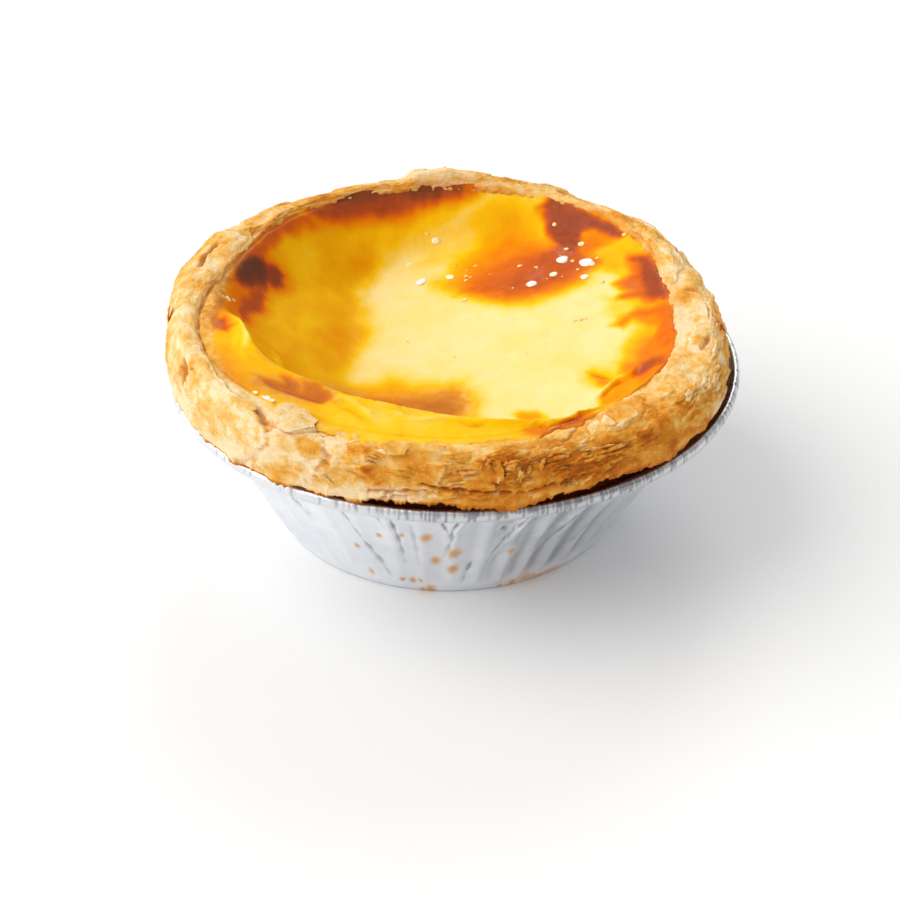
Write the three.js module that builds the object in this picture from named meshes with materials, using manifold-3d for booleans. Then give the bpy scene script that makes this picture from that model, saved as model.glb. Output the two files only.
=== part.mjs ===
// An egg tart in its foil cup: a pleated aluminium cup, a laminated puff pastry shell that has risen
// and spread over the cup's rim, and a baked custard that has sunk in the middle.
// Millimetres, +Z up. The origin is on the table, under the middle of the cup's rim.
// An angle is counted from +X towards +Y: 0 is the right, 90 the back, 180 the left, 270 the front.
import * as THREE from "three";
import { mergeVertices } from "three/addons/utils/BufferGeometryUtils.js";
import Module from "manifold-3d";

// ---- Driving dimensions ------------------------------------------------------------------------

// Foil cup
const RIM_RADIUS = 36; // outside of the curled rim
const CUP_HEIGHT = 21.2;
const BASE_RADIUS = 22;
const NECK_RADIUS = 33.2; // outside of the wall, just under the rim
const WALL_BOW = 0.8; // how far the wall bends in from a straight cone, half-way up
const WALL_HEIGHTS = [6, 13]; // where the bowed wall bends
const FOIL = 0.3;
const HEM_HEIGHT = 1.9; // the curled rim
const HEM_WIDTH = 0.8;
const HEM_ROUNDING = 0.3;
const PLEATS = 48;
const PLEAT_DEPTH = 0.45; // from the middle of a pleat to its ridge or its valley
const BASE_SHIFT = -0.9; // the thin cup was pressed out of true: its base is this far along X from its rim

// Between two pieces that touch
const CLEARANCE = 0.35;

// Pastry shell
const PASTRY_FLOOR = 3.2; // thickness under the custard
const CREST_HEIGHT = 29.2; // mean height of the top of the rim
const CREST_TILT = 1.5; // the rim rose this much more at the back left, and less at the front right
const TONGUE = 1.2; // height of the tongue of pastry that stands above the rim at the back
const REACH = 36.1; // mean outside radius of the rim
const LIP_ROUNDING = 0.8; // of the edge under the outside of the rim
const SHEET = 0.42; // thickness of one baked sheet of the laminated dough
const FLAKES = 18; // loose flakes that stand off the rim
const FLAKY_FROM = 215; // they are spread over the front of the rim, between these two angles
const FLAKY_TO = 350;
const FLAKE_SIZE = 1.45; // mean radius of a flake
const FLAKE_LIFT = 24; // degrees, the most that a flake stands off the surface
const FLAKE_TWIST = 30; // degrees, the most that it is turned from the way the rim runs
const FLAKE_SUNK = 0.3; // how deep it is joined to the rim

// Custard
const CUSTARD_RADIUS = 30.5; // mean radius at which the custard meets the pastry
const EDGE_DROP = 0.7; // how far that is below the top of the rim
const FLOOR_HEIGHT = 21; // the sunken floor, in the middle
const FLOOR_RISE = 0.2; // it rises by this much a millimetre
const FLOOR_UPHILL = 25; // in this direction, in degrees
const CREASE_X = -12.5; // the floor ends at a crease on the left
const LEFT_SLOPE = 0.7; // beyond the crease the custard climbs this much faster than the floor
const SIDE_SLOPE = 1.3; // the side all round, under the edge
const SWELL = 0.3; // its skin swells this far above its edge
const SHELF = 5.4; // width of the level strip between the pastry and the side, at the front left
const SKIN_RIDGE = 0.9; // height of the fold of skin along the inside of the shelf
const SOFTNESS = 1.6; // how widely the slopes run into each other

// Numbers of facets
const PLEAT_FACETS = 3;
const PASTRY_FACETS = 120;
const CUSTARD_FACETS = 84;

// ---- Shaping functions -------------------------------------------------------------------------

const TURN = Math.PI * 2;
const radians = (degrees) => (degrees * Math.PI) / 180;
const mix = (a, b, t) => a + (b - a) * t;
const point = (radius, height) => new THREE.Vector2(radius, height);

// A smooth hump of height 1 and the given half width, at an angle on the circle.
function hump(angle, at, width) {
  const apart = Math.atan2(Math.sin(angle - radians(at)), Math.cos(angle - radians(at)));
  return Math.exp(-((apart / radians(width)) ** 2));
}

// 0 before start, 1 after end, and smooth between them.
const rise = (x, start, end) => THREE.MathUtils.smoothstep(x, start, end);

// A wave of the given size round the circle, with its lobes at regular angles from the first, in degrees.
const wave = (angle, lobes, size, first) => size * Math.cos(lobes * (angle - radians(first)));

// Radius of the outside of the foil wall at a height, without its pleats.
function wallRadius(height) {
  const up = height / (CUP_HEIGHT - HEM_HEIGHT);
  return mix(BASE_RADIUS, NECK_RADIUS, up) - WALL_BOW * Math.sin(Math.PI * up);
}

// The outline of the pastry's rim, which is nowhere quite round or level.
const reach = (angle) =>
  REACH +
  wave(angle, 1, 1.1, 200) +
  wave(angle, 2, 0.3, 110) +
  wave(angle, 3, 0.35, 55) +
  wave(angle, 4, 0.5, 55) -
  0.7 * hump(angle, 180, 25);
const innerEdge = (angle) =>
  CUSTARD_RADIUS +
  wave(angle, 1, 1.5, 170) +
  wave(angle, 2, 1.45, 67) +
  wave(angle, 3, 0.45, 86) +
  wave(angle, 4, 0.4, 38) +
  wave(angle, 5, 0.5, 51);
const tongue = (angle) =>
  rise(angle, radians(72), radians(88)) * (1 - rise(angle, radians(100), radians(104)));
const evenCrest = (angle) =>
  CREST_HEIGHT + wave(angle, 1, CREST_TILT, 150) - 0.5 * hump(angle, 120, 18);
const crestHeight = (angle) => evenCrest(angle) + TONGUE * tongue(angle);
const edgeHeight = (angle) => evenCrest(angle) - EDGE_DROP;
const custardEdge = (angle) => innerEdge(angle) - CLEARANCE;

// The crest runs close to the custard at the back left, where the rim fell outwards.
function crestRadius(angle) {
  const share = 0.45 - 0.3 * hump(angle, 122, 30) - 0.08 * hump(angle, 180, 40) - 0.1 * hump(angle, 60, 30);
  return mix(innerEdge(angle), reach(angle), share);
}

// How far the underside of the rim stands off the foil: most at the front right.
const lipHeight = (angle) =>
  CUP_HEIGHT + CLEARANCE + 1.1 * hump(angle, 312, 26) + 0.5 * hump(angle, 265, 14);

// Relief of the rim, outwards: lumps, sheets that end in steps, and the cut edges of the layers at the
// front. The share runs from 0 at the lip over 1 at the crest to 2 at the custard.
function relief(angle, share) {
  const lumps =
    0.22 * Math.cos(9 * angle + 2 * share) +
    0.2 * Math.cos(17 * angle - 3 * share + 1) +
    0.14 * Math.cos(29 * angle + 6 * share);
  const depth = Math.cos(5 * angle + 2.4 * share) + 0.7 * Math.cos(11 * angle - 4 * share + 2);
  const sheets = (Math.floor(depth * 1.5) + 0.5) * SHEET * 0.6;
  const ledges = ((share * 4 + 0.3 * Math.cos(6 * angle)) % 1) * 2 * SHEET * (1 - rise(share, 0.7, 1));
  const front = hump(angle, 272, 36);
  const calm = Math.max(hump(angle, 197, 34), 0.7 * hump(angle, 95, 45), 0.6 * hump(angle, 5, 25));
  const fade = 1 - rise(share, 1.5, 1.95);
  return fade * ((lumps + sheets) * (1 - 0.75 * calm) + ledges * front);
}

// The greater of two heights, with a rounded change from one to the other.
function softMax(a, b) {
  const share = THREE.MathUtils.clamp(0.5 + (a - b) / (2 * SOFTNESS), 0, 1);
  return mix(b, a, share) + SOFTNESS * share * (1 - share);
}

// 1 where the shelf has its full width, from the left round to the front.
const shelfShare = (angle) =>
  rise(angle, radians(172), radians(202)) * (1 - rise(angle, radians(258), radians(302)));

// Height of the custard's surface: a tilted floor, a slope on the left and a steep side all round.
function custardHeight(angle, radius) {
  const x = radius * Math.cos(angle);
  const y = radius * Math.sin(angle);
  const uphill = radians(FLOOR_UPHILL);
  const floor = FLOOR_HEIGHT + FLOOR_RISE * (x * Math.cos(uphill) + y * Math.sin(uphill));
  const crease = CREASE_X + 7 * rise(y, 18, 32);
  const left = floor + LEFT_SLOPE * (crease - x);
  const inset = custardEdge(angle) - radius;
  const beyondShelf = inset - SHELF * shelfShare(angle);
  const side = edgeHeight(angle) + SWELL - SIDE_SLOPE * softMax(0, beyondShelf);
  const folds = 1 + 0.3 * Math.cos(9 * angle) + 0.2 * Math.cos(14 * angle + 1);
  const along = Math.max(shelfShare(angle), 0.8 * hump(angle, 300, 40));
  const ridge = SKIN_RIDGE * along * folds * Math.exp(-(((beyondShelf + 0.4) / 1.1) ** 2));
  return softMax(softMax(floor, left), side) + ridge;
}

// ---- Making solids -----------------------------------------------------------------------------

// A lathe whose profile changes with the angle. profileAt gives the same number of points each time,
// from the axis at the bottom, up the outside, and back to the axis.
function turned(profileAt, facets) {
  const geometry = new THREE.LatheGeometry(profileAt(0), facets);
  const position = geometry.getAttribute("position");
  const count = position.count / (facets + 1);
  for (let i = 0; i <= facets; i++) {
    const angle = ((i % facets) / facets) * TURN;
    profileAt(angle).forEach((p, j) => {
      position.setXYZ(i * count + j, p.x * Math.cos(angle), p.x * Math.sin(angle), p.y);
    });
  }
  return geometry;
}

// Slides what is below the rim sideways, most at the base, as the cup was pressed.
function leaning(geometry) {
  const position = geometry.getAttribute("position");
  for (let i = 0; i < position.count; i++) {
    const below = Math.max(0, 1 - position.getZ(i) / CUP_HEIGHT);
    position.setX(i, position.getX(i) + BASE_SHIFT * below);
  }
  return geometry;
}

// The closed mesh of a geometry, with one vertex where several met.
function closed(geometry) {
  geometry.deleteAttribute("normal");
  geometry.deleteAttribute("uv");
  return mergeVertices(geometry, 1e-4);
}

const wasm = await Module();
wasm.setup();

function solidOf(geometry) {
  const merged = closed(geometry);
  return new wasm.Manifold(
    new wasm.Mesh({
      numProp: 3,
      vertProperties: new Float32Array(merged.getAttribute("position").array),
      triVerts: new Uint32Array(merged.index.array),
    }),
  );
}

function geometryOf(solid) {
  const mesh = solid.getMesh();
  return new THREE.BufferGeometry()
    .setAttribute("position", new THREE.BufferAttribute(mesh.vertProperties, 3))
    .setIndex(new THREE.BufferAttribute(mesh.triVerts, 1));
}

// ---- Foil cup ----------------------------------------------------------------------------------

// The pleats are pressed into the wall and fade out at the base and under the rim.
function pleat(angle, height) {
  const wander = 0.5 * Math.sin(5 * angle) + 0.35 * Math.sin(11 * angle + 1);
  const strength = 0.75 + 0.25 * Math.cos(3 * angle + 2);
  const along = Math.sin(Math.PI * mix(0.12, 0.85, height / CUP_HEIGHT));
  return PLEAT_DEPTH * strength * along * Math.cos(PLEATS * angle + wander);
}

function foilCup() {
  const neckHeight = CUP_HEIGHT - HEM_HEIGHT;
  const wallPoint = (angle, height, inset) =>
    point(wallRadius(height) + pleat(angle, height) - inset, height);
  const profileAt = (angle) => [
    point(0, 0),
    point(BASE_RADIUS - HEM_ROUNDING, 0),
    point(BASE_RADIUS, HEM_ROUNDING),
    ...WALL_HEIGHTS.map((height) => wallPoint(angle, height, 0)),
    point(NECK_RADIUS, neckHeight),
    point(RIM_RADIUS, neckHeight + HEM_ROUNDING),
    point(RIM_RADIUS, CUP_HEIGHT - HEM_ROUNDING),
    point(RIM_RADIUS - 0.4, CUP_HEIGHT),
    point(RIM_RADIUS - HEM_WIDTH, CUP_HEIGHT),
    point(NECK_RADIUS - FOIL, neckHeight),
    ...WALL_HEIGHTS.toReversed().map((height) => wallPoint(angle, height, FOIL)),
    point(BASE_RADIUS - FOIL, 0.5),
    point(BASE_RADIUS - 0.5, FOIL),
    point(0, FOIL),
  ];
  return turned(profileAt, PLEATS * PLEAT_FACETS);
}

// ---- Pastry shell ------------------------------------------------------------------------------

// Radius of the pastry where it lies in the cup, clear of the pleats.
const seatRadius = (height) => wallRadius(height) - FOIL - PLEAT_DEPTH - CLEARANCE;

// The inside of the shell, from the custard's edge down to its floor.
const WELL = [
  { share: 0.3, inset: 1.6 },
  { share: 0.65, inset: 4.6 },
  { share: 1, inset: 9.5 },
];
const wellHeight = (angle, share) => mix(edgeHeight(angle), PASTRY_FLOOR + 1.2, share);

// A point of the rim's cross-section. The share is 0 at the lip, 1 at the crest and 2 at the custard.
function rimPoint(angle, share) {
  const turn = (share * Math.PI) / 2;
  const outside = share < 1;
  const across = outside ? reach(angle) - crestRadius(angle) : crestRadius(angle) - innerEdge(angle);
  const low = outside ? lipHeight(angle) + LIP_ROUNDING : edgeHeight(angle);
  const bulge = outside ? 0.75 : 1;
  const cosine = Math.cos(turn);
  const out = relief(angle, share);
  return point(
    crestRadius(angle) + Math.sign(cosine) * across * Math.abs(cosine) ** bulge + out * cosine,
    mix(low, crestHeight(angle), Math.sin(turn) ** bulge) + out * Math.sin(turn),
  );
}

function pastryShell() {
  const seatHeights = [7, 14];
  const rimShares = [0, 0.12, 0.24, 0.36, 0.48, 0.6, 0.74, 0.88, 1.04, 1.25, 1.5, 1.75, 2];
  const bottom = FOIL + CLEARANCE;
  const neckHeight = CUP_HEIGHT - HEM_HEIGHT - 0.5;
  const profileAt = (angle) => [
    point(0, bottom),
    point(seatRadius(bottom) - 1, bottom),
    ...seatHeights.map((height) => point(seatRadius(height), height)),
    point(seatRadius(neckHeight), neckHeight),
    point(seatRadius(neckHeight) + 0.3, lipHeight(angle)),
    point(reach(angle) - 0.9, lipHeight(angle)),
    ...rimShares.map((share) => rimPoint(angle, share)),
    ...WELL.map(({ share, inset }) => point(innerEdge(angle) - inset, wellHeight(angle, share))),
    point(innerEdge(angle) - 12, PASTRY_FLOOR),
    point(0, PASTRY_FLOOR),
  ];
  return turned(profileAt, PASTRY_FACETS);
}

// The same draws each time, from 0 to 1.
let seed = 7;
function draw() {
  seed = (seed * 16807) % 2147483647;
  return seed / 2147483647;
}

function onRim(angle, share) {
  const p = rimPoint(angle, share);
  return new THREE.Vector3(p.x * Math.cos(angle), p.x * Math.sin(angle), p.y);
}

// A ragged flake of one sheet, sunk in the rim by one side and standing off it by the other.
function flake(angle, share) {
  const sides = 7;
  const outline = Array.from({ length: sides }, (_, k) => {
    const size = FLAKE_SIZE * mix(0.6, 1.3, draw());
    const turn = (k / sides) * TURN;
    return new THREE.Vector2(1.4 * size * Math.cos(turn), size * Math.sin(turn));
  });
  const geometry = new THREE.ExtrudeGeometry(new THREE.Shape(outline), {
    depth: SHEET,
    bevelEnabled: false,
  });
  const middle = onRim(angle, share);
  const along = onRim(angle + 0.02, share).sub(middle).normalize();
  const up = onRim(angle, share + 0.03).sub(middle).normalize();
  const out = new THREE.Vector3().crossVectors(along, up).normalize();
  geometry.translate(0, 0, -FLAKE_SUNK);
  geometry.rotateX(radians(-FLAKE_LIFT * mix(0.4, 1, draw())));
  geometry.rotateZ(radians(mix(-FLAKE_TWIST, FLAKE_TWIST, draw())));
  const frame = new THREE.Matrix4().makeBasis(along, up, out).setPosition(middle);
  return geometry.applyMatrix4(frame);
}

// The shell with its flakes joined on, most of them round the front.
function flakyShell() {
  let shell = solidOf(pastryShell());
  for (let i = 0; i < FLAKES; i++) {
    const angle = radians(mix(FLAKY_FROM, FLAKY_TO, (i + draw()) / FLAKES));
    shell = shell.add(solidOf(flake(angle, mix(0.3, 1.1, draw()))));
  }
  return geometryOf(shell);
}

// ---- Custard -----------------------------------------------------------------------------------

function custard() {
  const surfaceShares = [0.97, 0.92, 0.87, 0.81, 0.72, 0.58, 0.4, 0.18];
  const profileAt = (angle) => [
    point(0, PASTRY_FLOOR + CLEARANCE),
    point(innerEdge(angle) - 12.3, PASTRY_FLOOR + CLEARANCE),
    ...WELL.toReversed().map(({ share, inset }) =>
      point(innerEdge(angle) - inset - 1.4 * CLEARANCE, wellHeight(angle, share) + 0.2),
    ),
    point(custardEdge(angle), edgeHeight(angle) - 0.4),
    ...surfaceShares.map((share) => {
      const radius = custardEdge(angle) * share;
      return point(radius, custardHeight(angle, radius));
    }),
    point(0, custardHeight(0, 0)),
  ];
  return turned(profileAt, CUSTARD_FACETS);
}

// ---- The object --------------------------------------------------------------------------------

function piece(name, geometry, colour, roughness, metalness) {
  const material = new THREE.MeshStandardMaterial({ color: colour, roughness, metalness });
  const mesh = new THREE.Mesh(leaning(geometry), material);
  mesh.name = name;
  return mesh;
}

const eggTart = new THREE.Group();
eggTart.name = "egg_tart";
eggTart.add(
  piece("foil_cup", closed(foilCup()), "#c9ccd0", 0.35, 1),
  piece("pastry_shell", flakyShell(), "#d79a4a", 0.75, 0),
  piece("custard", closed(custard()), "#f4c838", 0.3, 0),
);

export default eggTart;
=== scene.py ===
"""An egg tart: a baked custard in a shell of laminated puff pastry, standing in its own foil cup.

Sizes are in millimetres until a mesh is made. An angle is counted from +X towards +Y: 0 degrees is
the right, 90 the back, 180 the left and 270 the front. The origin is on the table, under the rim.
"""
import functools
import math

import bpy
import numpy as np
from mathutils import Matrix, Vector, noise


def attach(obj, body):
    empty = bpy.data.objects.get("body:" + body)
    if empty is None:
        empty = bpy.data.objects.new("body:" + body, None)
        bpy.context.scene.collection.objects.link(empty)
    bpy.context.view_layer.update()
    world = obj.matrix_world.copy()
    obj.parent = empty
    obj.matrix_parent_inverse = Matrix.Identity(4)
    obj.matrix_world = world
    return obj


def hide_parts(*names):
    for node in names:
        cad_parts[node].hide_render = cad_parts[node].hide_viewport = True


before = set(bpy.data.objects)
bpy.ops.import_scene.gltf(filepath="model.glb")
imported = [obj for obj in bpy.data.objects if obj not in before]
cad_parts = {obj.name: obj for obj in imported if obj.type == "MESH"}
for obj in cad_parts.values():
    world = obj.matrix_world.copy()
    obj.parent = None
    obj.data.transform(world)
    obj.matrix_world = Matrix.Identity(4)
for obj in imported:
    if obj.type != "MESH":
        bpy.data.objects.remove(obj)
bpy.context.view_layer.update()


# ---- Foil cup ----------------------------------------------------------------------------------
# Thin aluminium foil, pressed between two dies into a flat base, a flared wall of soft pleats and
# an edge that is rolled over. Fingers and the oven rack creased it, and fat from the pastry baked
# onto it in small brown spots.

MM = 0.001  # a millimetre in metres, for the meshes
RIM_RADIUS = 36.0
EDGE_RADIUS = 35.0  # the rolled edge is all that lies further out than this
EDGE_FOOT = 19.5  # and it starts at this height
CUP_HEIGHT = 21.2
NECK_HEIGHT = 19.3
BASE_SHIFT = -0.9  # the base sits this far along X from the rim
PLEATS = 48
PLEAT_DEPTH = 0.42

# The cup's profile from the middle of the base, up the outside, over the rolled edge and back to
# the middle inside: how far along the strip of foil, radius, height.
CUP_PROFILE = [
    (0.000, 0.00, 0.00), (0.030, 15.5, 0.00), (0.045, 16.2, 0.12), (0.060, 19.6, 0.12),
    (0.075, 20.3, 0.00), (0.090, 21.4, 0.00), (0.105, 21.85, 0.12), (0.120, 22.05, 0.45),
    (0.190, 23.35, 3.0), (0.270, 24.85, 6.0), (0.370, 26.9, 9.65), (0.465, 28.95, 13.0),
    (0.550, 30.95, 16.0), (0.620, 32.75, 18.7), (0.640, 33.2, 19.1), (0.660, 33.9, 19.32),
    (0.700, 35.2, 19.45), (0.720, 35.62, 19.56), (0.740, 35.86, 19.78), (0.760, 35.99, 20.08),
    (0.780, 36.02, 20.4), (0.800, 35.96, 20.72), (0.815, 35.84, 20.96), (0.830, 35.66, 21.13),
    (0.845, 35.45, 21.2), (0.860, 35.25, 21.13), (0.875, 35.12, 20.95), (0.900, 34.3, 20.2),
    (0.920, 32.6, 19.1), (0.935, 30.65, 16.0), (0.950, 28.65, 13.0), (0.965, 24.5, 6.0),
    (0.980, 21.7, 0.5), (0.985, 21.4, 0.3), (1.000, 0.0, 0.30),
]


def smooth(x, start, end):
    """0 before start, 1 after end, and smooth between them."""
    t = np.clip((x - start) / (end - start), 0.0, 1.0)
    return t * t * (3.0 - 2.0 * t)


def apart(angle, at):
    """The turn from a place in degrees to an angle, the short way round."""
    return np.arctan2(np.sin(angle - math.radians(at)), np.cos(angle - math.radians(at)))


def hump(angle, at, width):
    """1 at a place in degrees, falling off smoothly to either side of it round the circle."""
    return np.exp(-((apart(angle, at) / math.radians(width)) ** 2))


def off_line(u, v, du, dv):
    """How far places, counted from the start of a straight line, are from it, and how far along it."""
    t = np.clip((u * du + v * dv) / (du * du + dv * dv + 1e-9), 0.0, 1.0)
    return np.hypot(u - t * du, v - t * dv), t


def sum_of(tree, operation, a, b=0.0, c=0.0):
    """One step of arithmetic in a node tree, on numbers or sockets."""
    step = tree.nodes.new("ShaderNodeMath")
    step.operation = operation
    for socket, value in zip(step.inputs, (a, b, c)):
        if isinstance(value, bpy.types.NodeSocket):
            tree.links.new(value, socket)
        else:
            socket.default_value = value
    return step.outputs[0]


def add(tree, kind, inputs=None, **settings):
    """A new node with its settings, and inputs that are numbers or sockets of other nodes."""
    made = tree.nodes.new(kind)
    for key, value in settings.items():
        setattr(made, key, value)
    for key, value in (inputs or {}).items():
        if isinstance(value, bpy.types.NodeSocket):
            tree.links.new(value, made.inputs[key])
        else:
            made.inputs[key].default_value = value
    return made


def eased(tree, value, start, end, low=0.0, high=1.0):
    """A socket's value moved smoothly from low to high as it goes from start to end."""
    ends = {"Value": value, "From Min": start, "From Max": end, "To Min": low, "To Max": high}
    return add(tree, "ShaderNodeMapRange", ends, interpolation_type="SMOOTHSTEP").outputs[0]


def float_curve(tree, value, points):
    """A socket's value looked up on a line through points, all between 0 and 1."""
    lookup = add(tree, "ShaderNodeFloatCurve", {"Value": value})
    line = lookup.mapping.curves[0]
    line.points[0].location, line.points[1].location = points[0], points[-1]
    for place in points[1:-1]:
        line.points.new(*place)
    for corner in line.points:
        corner.handle_type = "VECTOR"
    lookup.mapping.update()
    return lookup.outputs[0]


def new_geometry_tree(name, numbers, takes_shape=False):
    """A geometry tree with a named input for each number, and one for the material."""
    tree = bpy.data.node_groups.new(name, "GeometryNodeTree")
    kinds = {float: "NodeSocketFloat", int: "NodeSocketInt"}
    if takes_shape:
        tree.interface.new_socket("Shape", in_out="INPUT", socket_type="NodeSocketGeometry")
    for label, value in numbers.items():
        tree.interface.new_socket(label, in_out="INPUT", socket_type=kinds[type(value)])
    tree.interface.new_socket("Finish", in_out="INPUT", socket_type="NodeSocketMaterial")
    tree.interface.new_socket("Shape", in_out="OUTPUT", socket_type="NodeSocketGeometry")
    return tree, tree.nodes.new("NodeGroupInput").outputs


def close_geometry_tree(tree, shape, finish):
    """Ends a tree with plain geometry in its own material."""
    real = add(tree, "GeometryNodeRealizeInstances", {"Geometry": shape})
    coated = add(tree, "GeometryNodeSetMaterial", {"Geometry": real.outputs[0], "Material": finish})
    add(tree, "NodeGroupOutput", {"Shape": coated.outputs[0]})


def set_out(name, data):
    """A new object in the scene."""
    piece = bpy.data.objects.new(name, data)
    bpy.context.scene.collection.objects.link(piece)
    return piece


def grow(name, mesh, tree, numbers, material):
    """An object whose plain mesh is what the tree makes of a starting mesh."""
    piece = set_out(name, mesh)
    maker = piece.modifiers.new(name, "NODES")
    maker.node_group = tree
    for socket in tree.interface.items_tree:
        if socket.in_out == "INPUT" and socket.name in numbers:
            maker[socket.identifier] = numbers[socket.name]
        elif socket.in_out == "INPUT" and socket.name == "Finish":
            maker[socket.identifier] = material
    bpy.context.view_layer.update()
    shown = piece.evaluated_get(bpy.context.evaluated_depsgraph_get())
    plain = bpy.data.meshes.new_from_object(shown)
    piece.modifiers.remove(maker)
    piece.data = plain
    plain.name = name
    return piece


def keep_values(mesh, name, values):
    """Stores one number for each vertex under a name that materials can read."""
    store = mesh.attributes.new(name, "FLOAT", "POINT")
    store.data.foreach_set("value", np.asarray(values, np.float32).ravel())


def colour(red, green, blue):
    """A colour given as on a screen, from 0 to 255, in the linear form that Blender mixes."""
    shares = (np.array([red, green, blue]) / 255.0 + 0.055) / 1.055
    return (*(float(s) ** 2.4 for s in shares), 1.0)


def new_finish(name, uniform):
    """A material with the numbers that are the same all over it set on its shader."""
    material = bpy.data.materials.new(name)
    material.use_nodes = True
    shader = material.node_tree.nodes["Principled BSDF"]
    for socket, value in uniform.items():
        shader.inputs[socket].default_value = value
    return material, material.node_tree, shader


def stored(tree, name):
    """A number that was stored for each vertex, read in a finish."""
    return add(tree, "ShaderNodeAttribute", attribute_name=name).outputs["Fac"]


def feed(tree, shader, varying):
    """Links what varies over a finish into its shader."""
    for label, source in varying.items():
        tree.links.new(source, shader.inputs[label])


def colour_ramp(tree, value, stops):
    """Colours that follow a socket's value, from a list of places and colours."""
    ramp = add(tree, "ShaderNodeValToRGB", {"Fac": value})
    bar = ramp.color_ramp
    bar.elements[0].position, bar.elements[0].color = stops[0][0], colour(*stops[0][1])
    bar.elements[1].position, bar.elements[1].color = stops[-1][0], colour(*stops[-1][1])
    for place, tint in stops[1:-1]:
        bar.elements.new(place).color = colour(*tint)
    return ramp.outputs["Color"]


def blend(tree, share, first, second):
    """A mix of two colours; each is a socket or a colour."""
    mixed = add(tree, "ShaderNodeMix", data_type="RGBA")
    sockets = (mixed.inputs[0], mixed.inputs[6], mixed.inputs[7])
    for socket, value in zip(sockets, (share, first, second)):
        if isinstance(value, bpy.types.NodeSocket):
            tree.links.new(value, socket)
        else:
            socket.default_value = value
    return mixed.outputs[2]


# Uneven grain: smooth random values about 0.5 on lumps of a given size, used by every finish.
grain = bpy.data.node_groups.new("uneven_grain", "ShaderNodeTree")
for label, start in {"Lumps per Metre": 500.0, "Detail": 3.0, "Stretch Up": 1.0}.items():
    grain.interface.new_socket(label, in_out="INPUT", socket_type="NodeSocketFloat").default_value = start
grain.interface.new_socket("Value", in_out="OUTPUT", socket_type="NodeSocketFloat")
grain_in = grain.nodes.new("NodeGroupInput").outputs
grain_place = add(grain, "ShaderNodeTexCoord").outputs["Object"]
grain_scale = add(grain, "ShaderNodeCombineXYZ", {"X": 1.0, "Y": 1.0, "Z": grain_in["Stretch Up"]})
grain_scaled = {0: grain_place, 1: grain_scale.outputs[0]}
grain_noise = add(grain, "ShaderNodeTexNoise", {
    "Vector": add(grain, "ShaderNodeVectorMath", grain_scaled, operation="MULTIPLY").outputs[0],
    "Scale": grain_in["Lumps per Metre"],
    "Detail": grain_in["Detail"], "Roughness": 0.6,
})
add(grain, "NodeGroupOutput", {"Value": grain_noise.outputs["Fac"]})


def grain_of(tree, lumps_per_metre, detail=3.0, stretch=1.0):
    """The uneven grain, placed in a finish with its own sizes."""
    used = add(tree, "ShaderNodeGroup", node_tree=grain)
    used.inputs["Lumps per Metre"].default_value = lumps_per_metre
    used.inputs["Detail"].default_value = detail
    used.inputs["Stretch Up"].default_value = stretch
    return used.outputs[0]


def bump(tree, height, distance, strength=1.0, below=None):
    """Shading relief from a height between 0 and 1, that stands for a distance in millimetres."""
    inputs = {"Height": height, "Distance": distance * MM, "Strength": strength}
    if below is not None:
        inputs["Normal"] = below
    return add(tree, "ShaderNodeBump", inputs).outputs[0]


foil, foil_tree, foil_shader = new_finish("rolled_foil", {"Metallic": 1.0, "Roughness": 0.34})
# Fat ends in a grainy edge. The foil is painted darker as shade in its creases, crimps, pleat valleys and
# the corner under its edge, and on its front right.
fat_grain = sum_of(foil_tree, "SUBTRACT", grain_of(foil_tree, 2200.0, 2.0), 0.5)
fat_grain = sum_of(foil_tree, "MULTIPLY", fat_grain, 0.9)
fat = sum_of(foil_tree, "ADD", stored(foil_tree, "baked_fat"), fat_grain)
fat = eased(foil_tree, fat, 0.1, 1.3, 0.0, 0.95)
dull = grain_of(foil_tree, 140.0, 3.0)
metal_colour = colour_ramp(foil_tree, dull, [(0.3, (232, 235, 240)), (0.7, (246, 247, 250))])
# Painted shade: where it is painted, the foil's colour is mixed towards grey.
shaded = sum_of(foil_tree, "MULTIPLY", stored(foil_tree, "painted_foil_shade"), 0.8)
shaded = sum_of(foil_tree, "MINIMUM", shaded, 0.8)
metal_colour = blend(foil_tree, shaded, metal_colour, colour(112, 114, 118))
feed(foil_tree, foil_shader, {
    "Base Color": blend(foil_tree, fat, metal_colour, colour(212, 150, 68)),
    "Metallic": sum_of(foil_tree, "SUBTRACT", 1.0, fat),
    "Roughness": eased(foil_tree, dull, 0.3, 0.7, 0.3, 0.42),
    "Normal": bump(foil_tree, grain_of(foil_tree, 420.0, 4.0), 0.28, 0.6),
})

cup_numbers = {
    "Rim Radius": RIM_RADIUS * MM, "Cup Height": CUP_HEIGHT * MM, "Pleat Depth": PLEAT_DEPTH * MM,
    "Base Shift": BASE_SHIFT * MM, "Pleats": PLEATS, "Steps Around": 960, "Steps Along": 96,
}
cup_tree, cup_in = new_geometry_tree("pressed_cup", cup_numbers)
cup_sum = functools.partial(sum_of, cup_tree)
strip = add(cup_tree, "GeometryNodeMeshGrid", {
    "Size X": 1.0, "Size Y": 1.0,
    "Vertices X": cup_in["Steps Around"], "Vertices Y": cup_in["Steps Along"],
})
place = add(cup_tree, "GeometryNodeInputPosition").outputs[0]
on_strip = add(cup_tree, "ShaderNodeSeparateXYZ", {0: place})
turn = cup_sum("MULTIPLY", cup_sum("ADD", on_strip.outputs["X"], 0.5), math.tau)
along = cup_sum("ADD", on_strip.outputs["Y"], 0.5)
radius = float_curve(cup_tree, along, [(t, r / RIM_RADIUS) for t, r, z in CUP_PROFILE])
height = float_curve(cup_tree, along, [(t, z / CUP_HEIGHT) for t, r, z in CUP_PROFILE])
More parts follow.
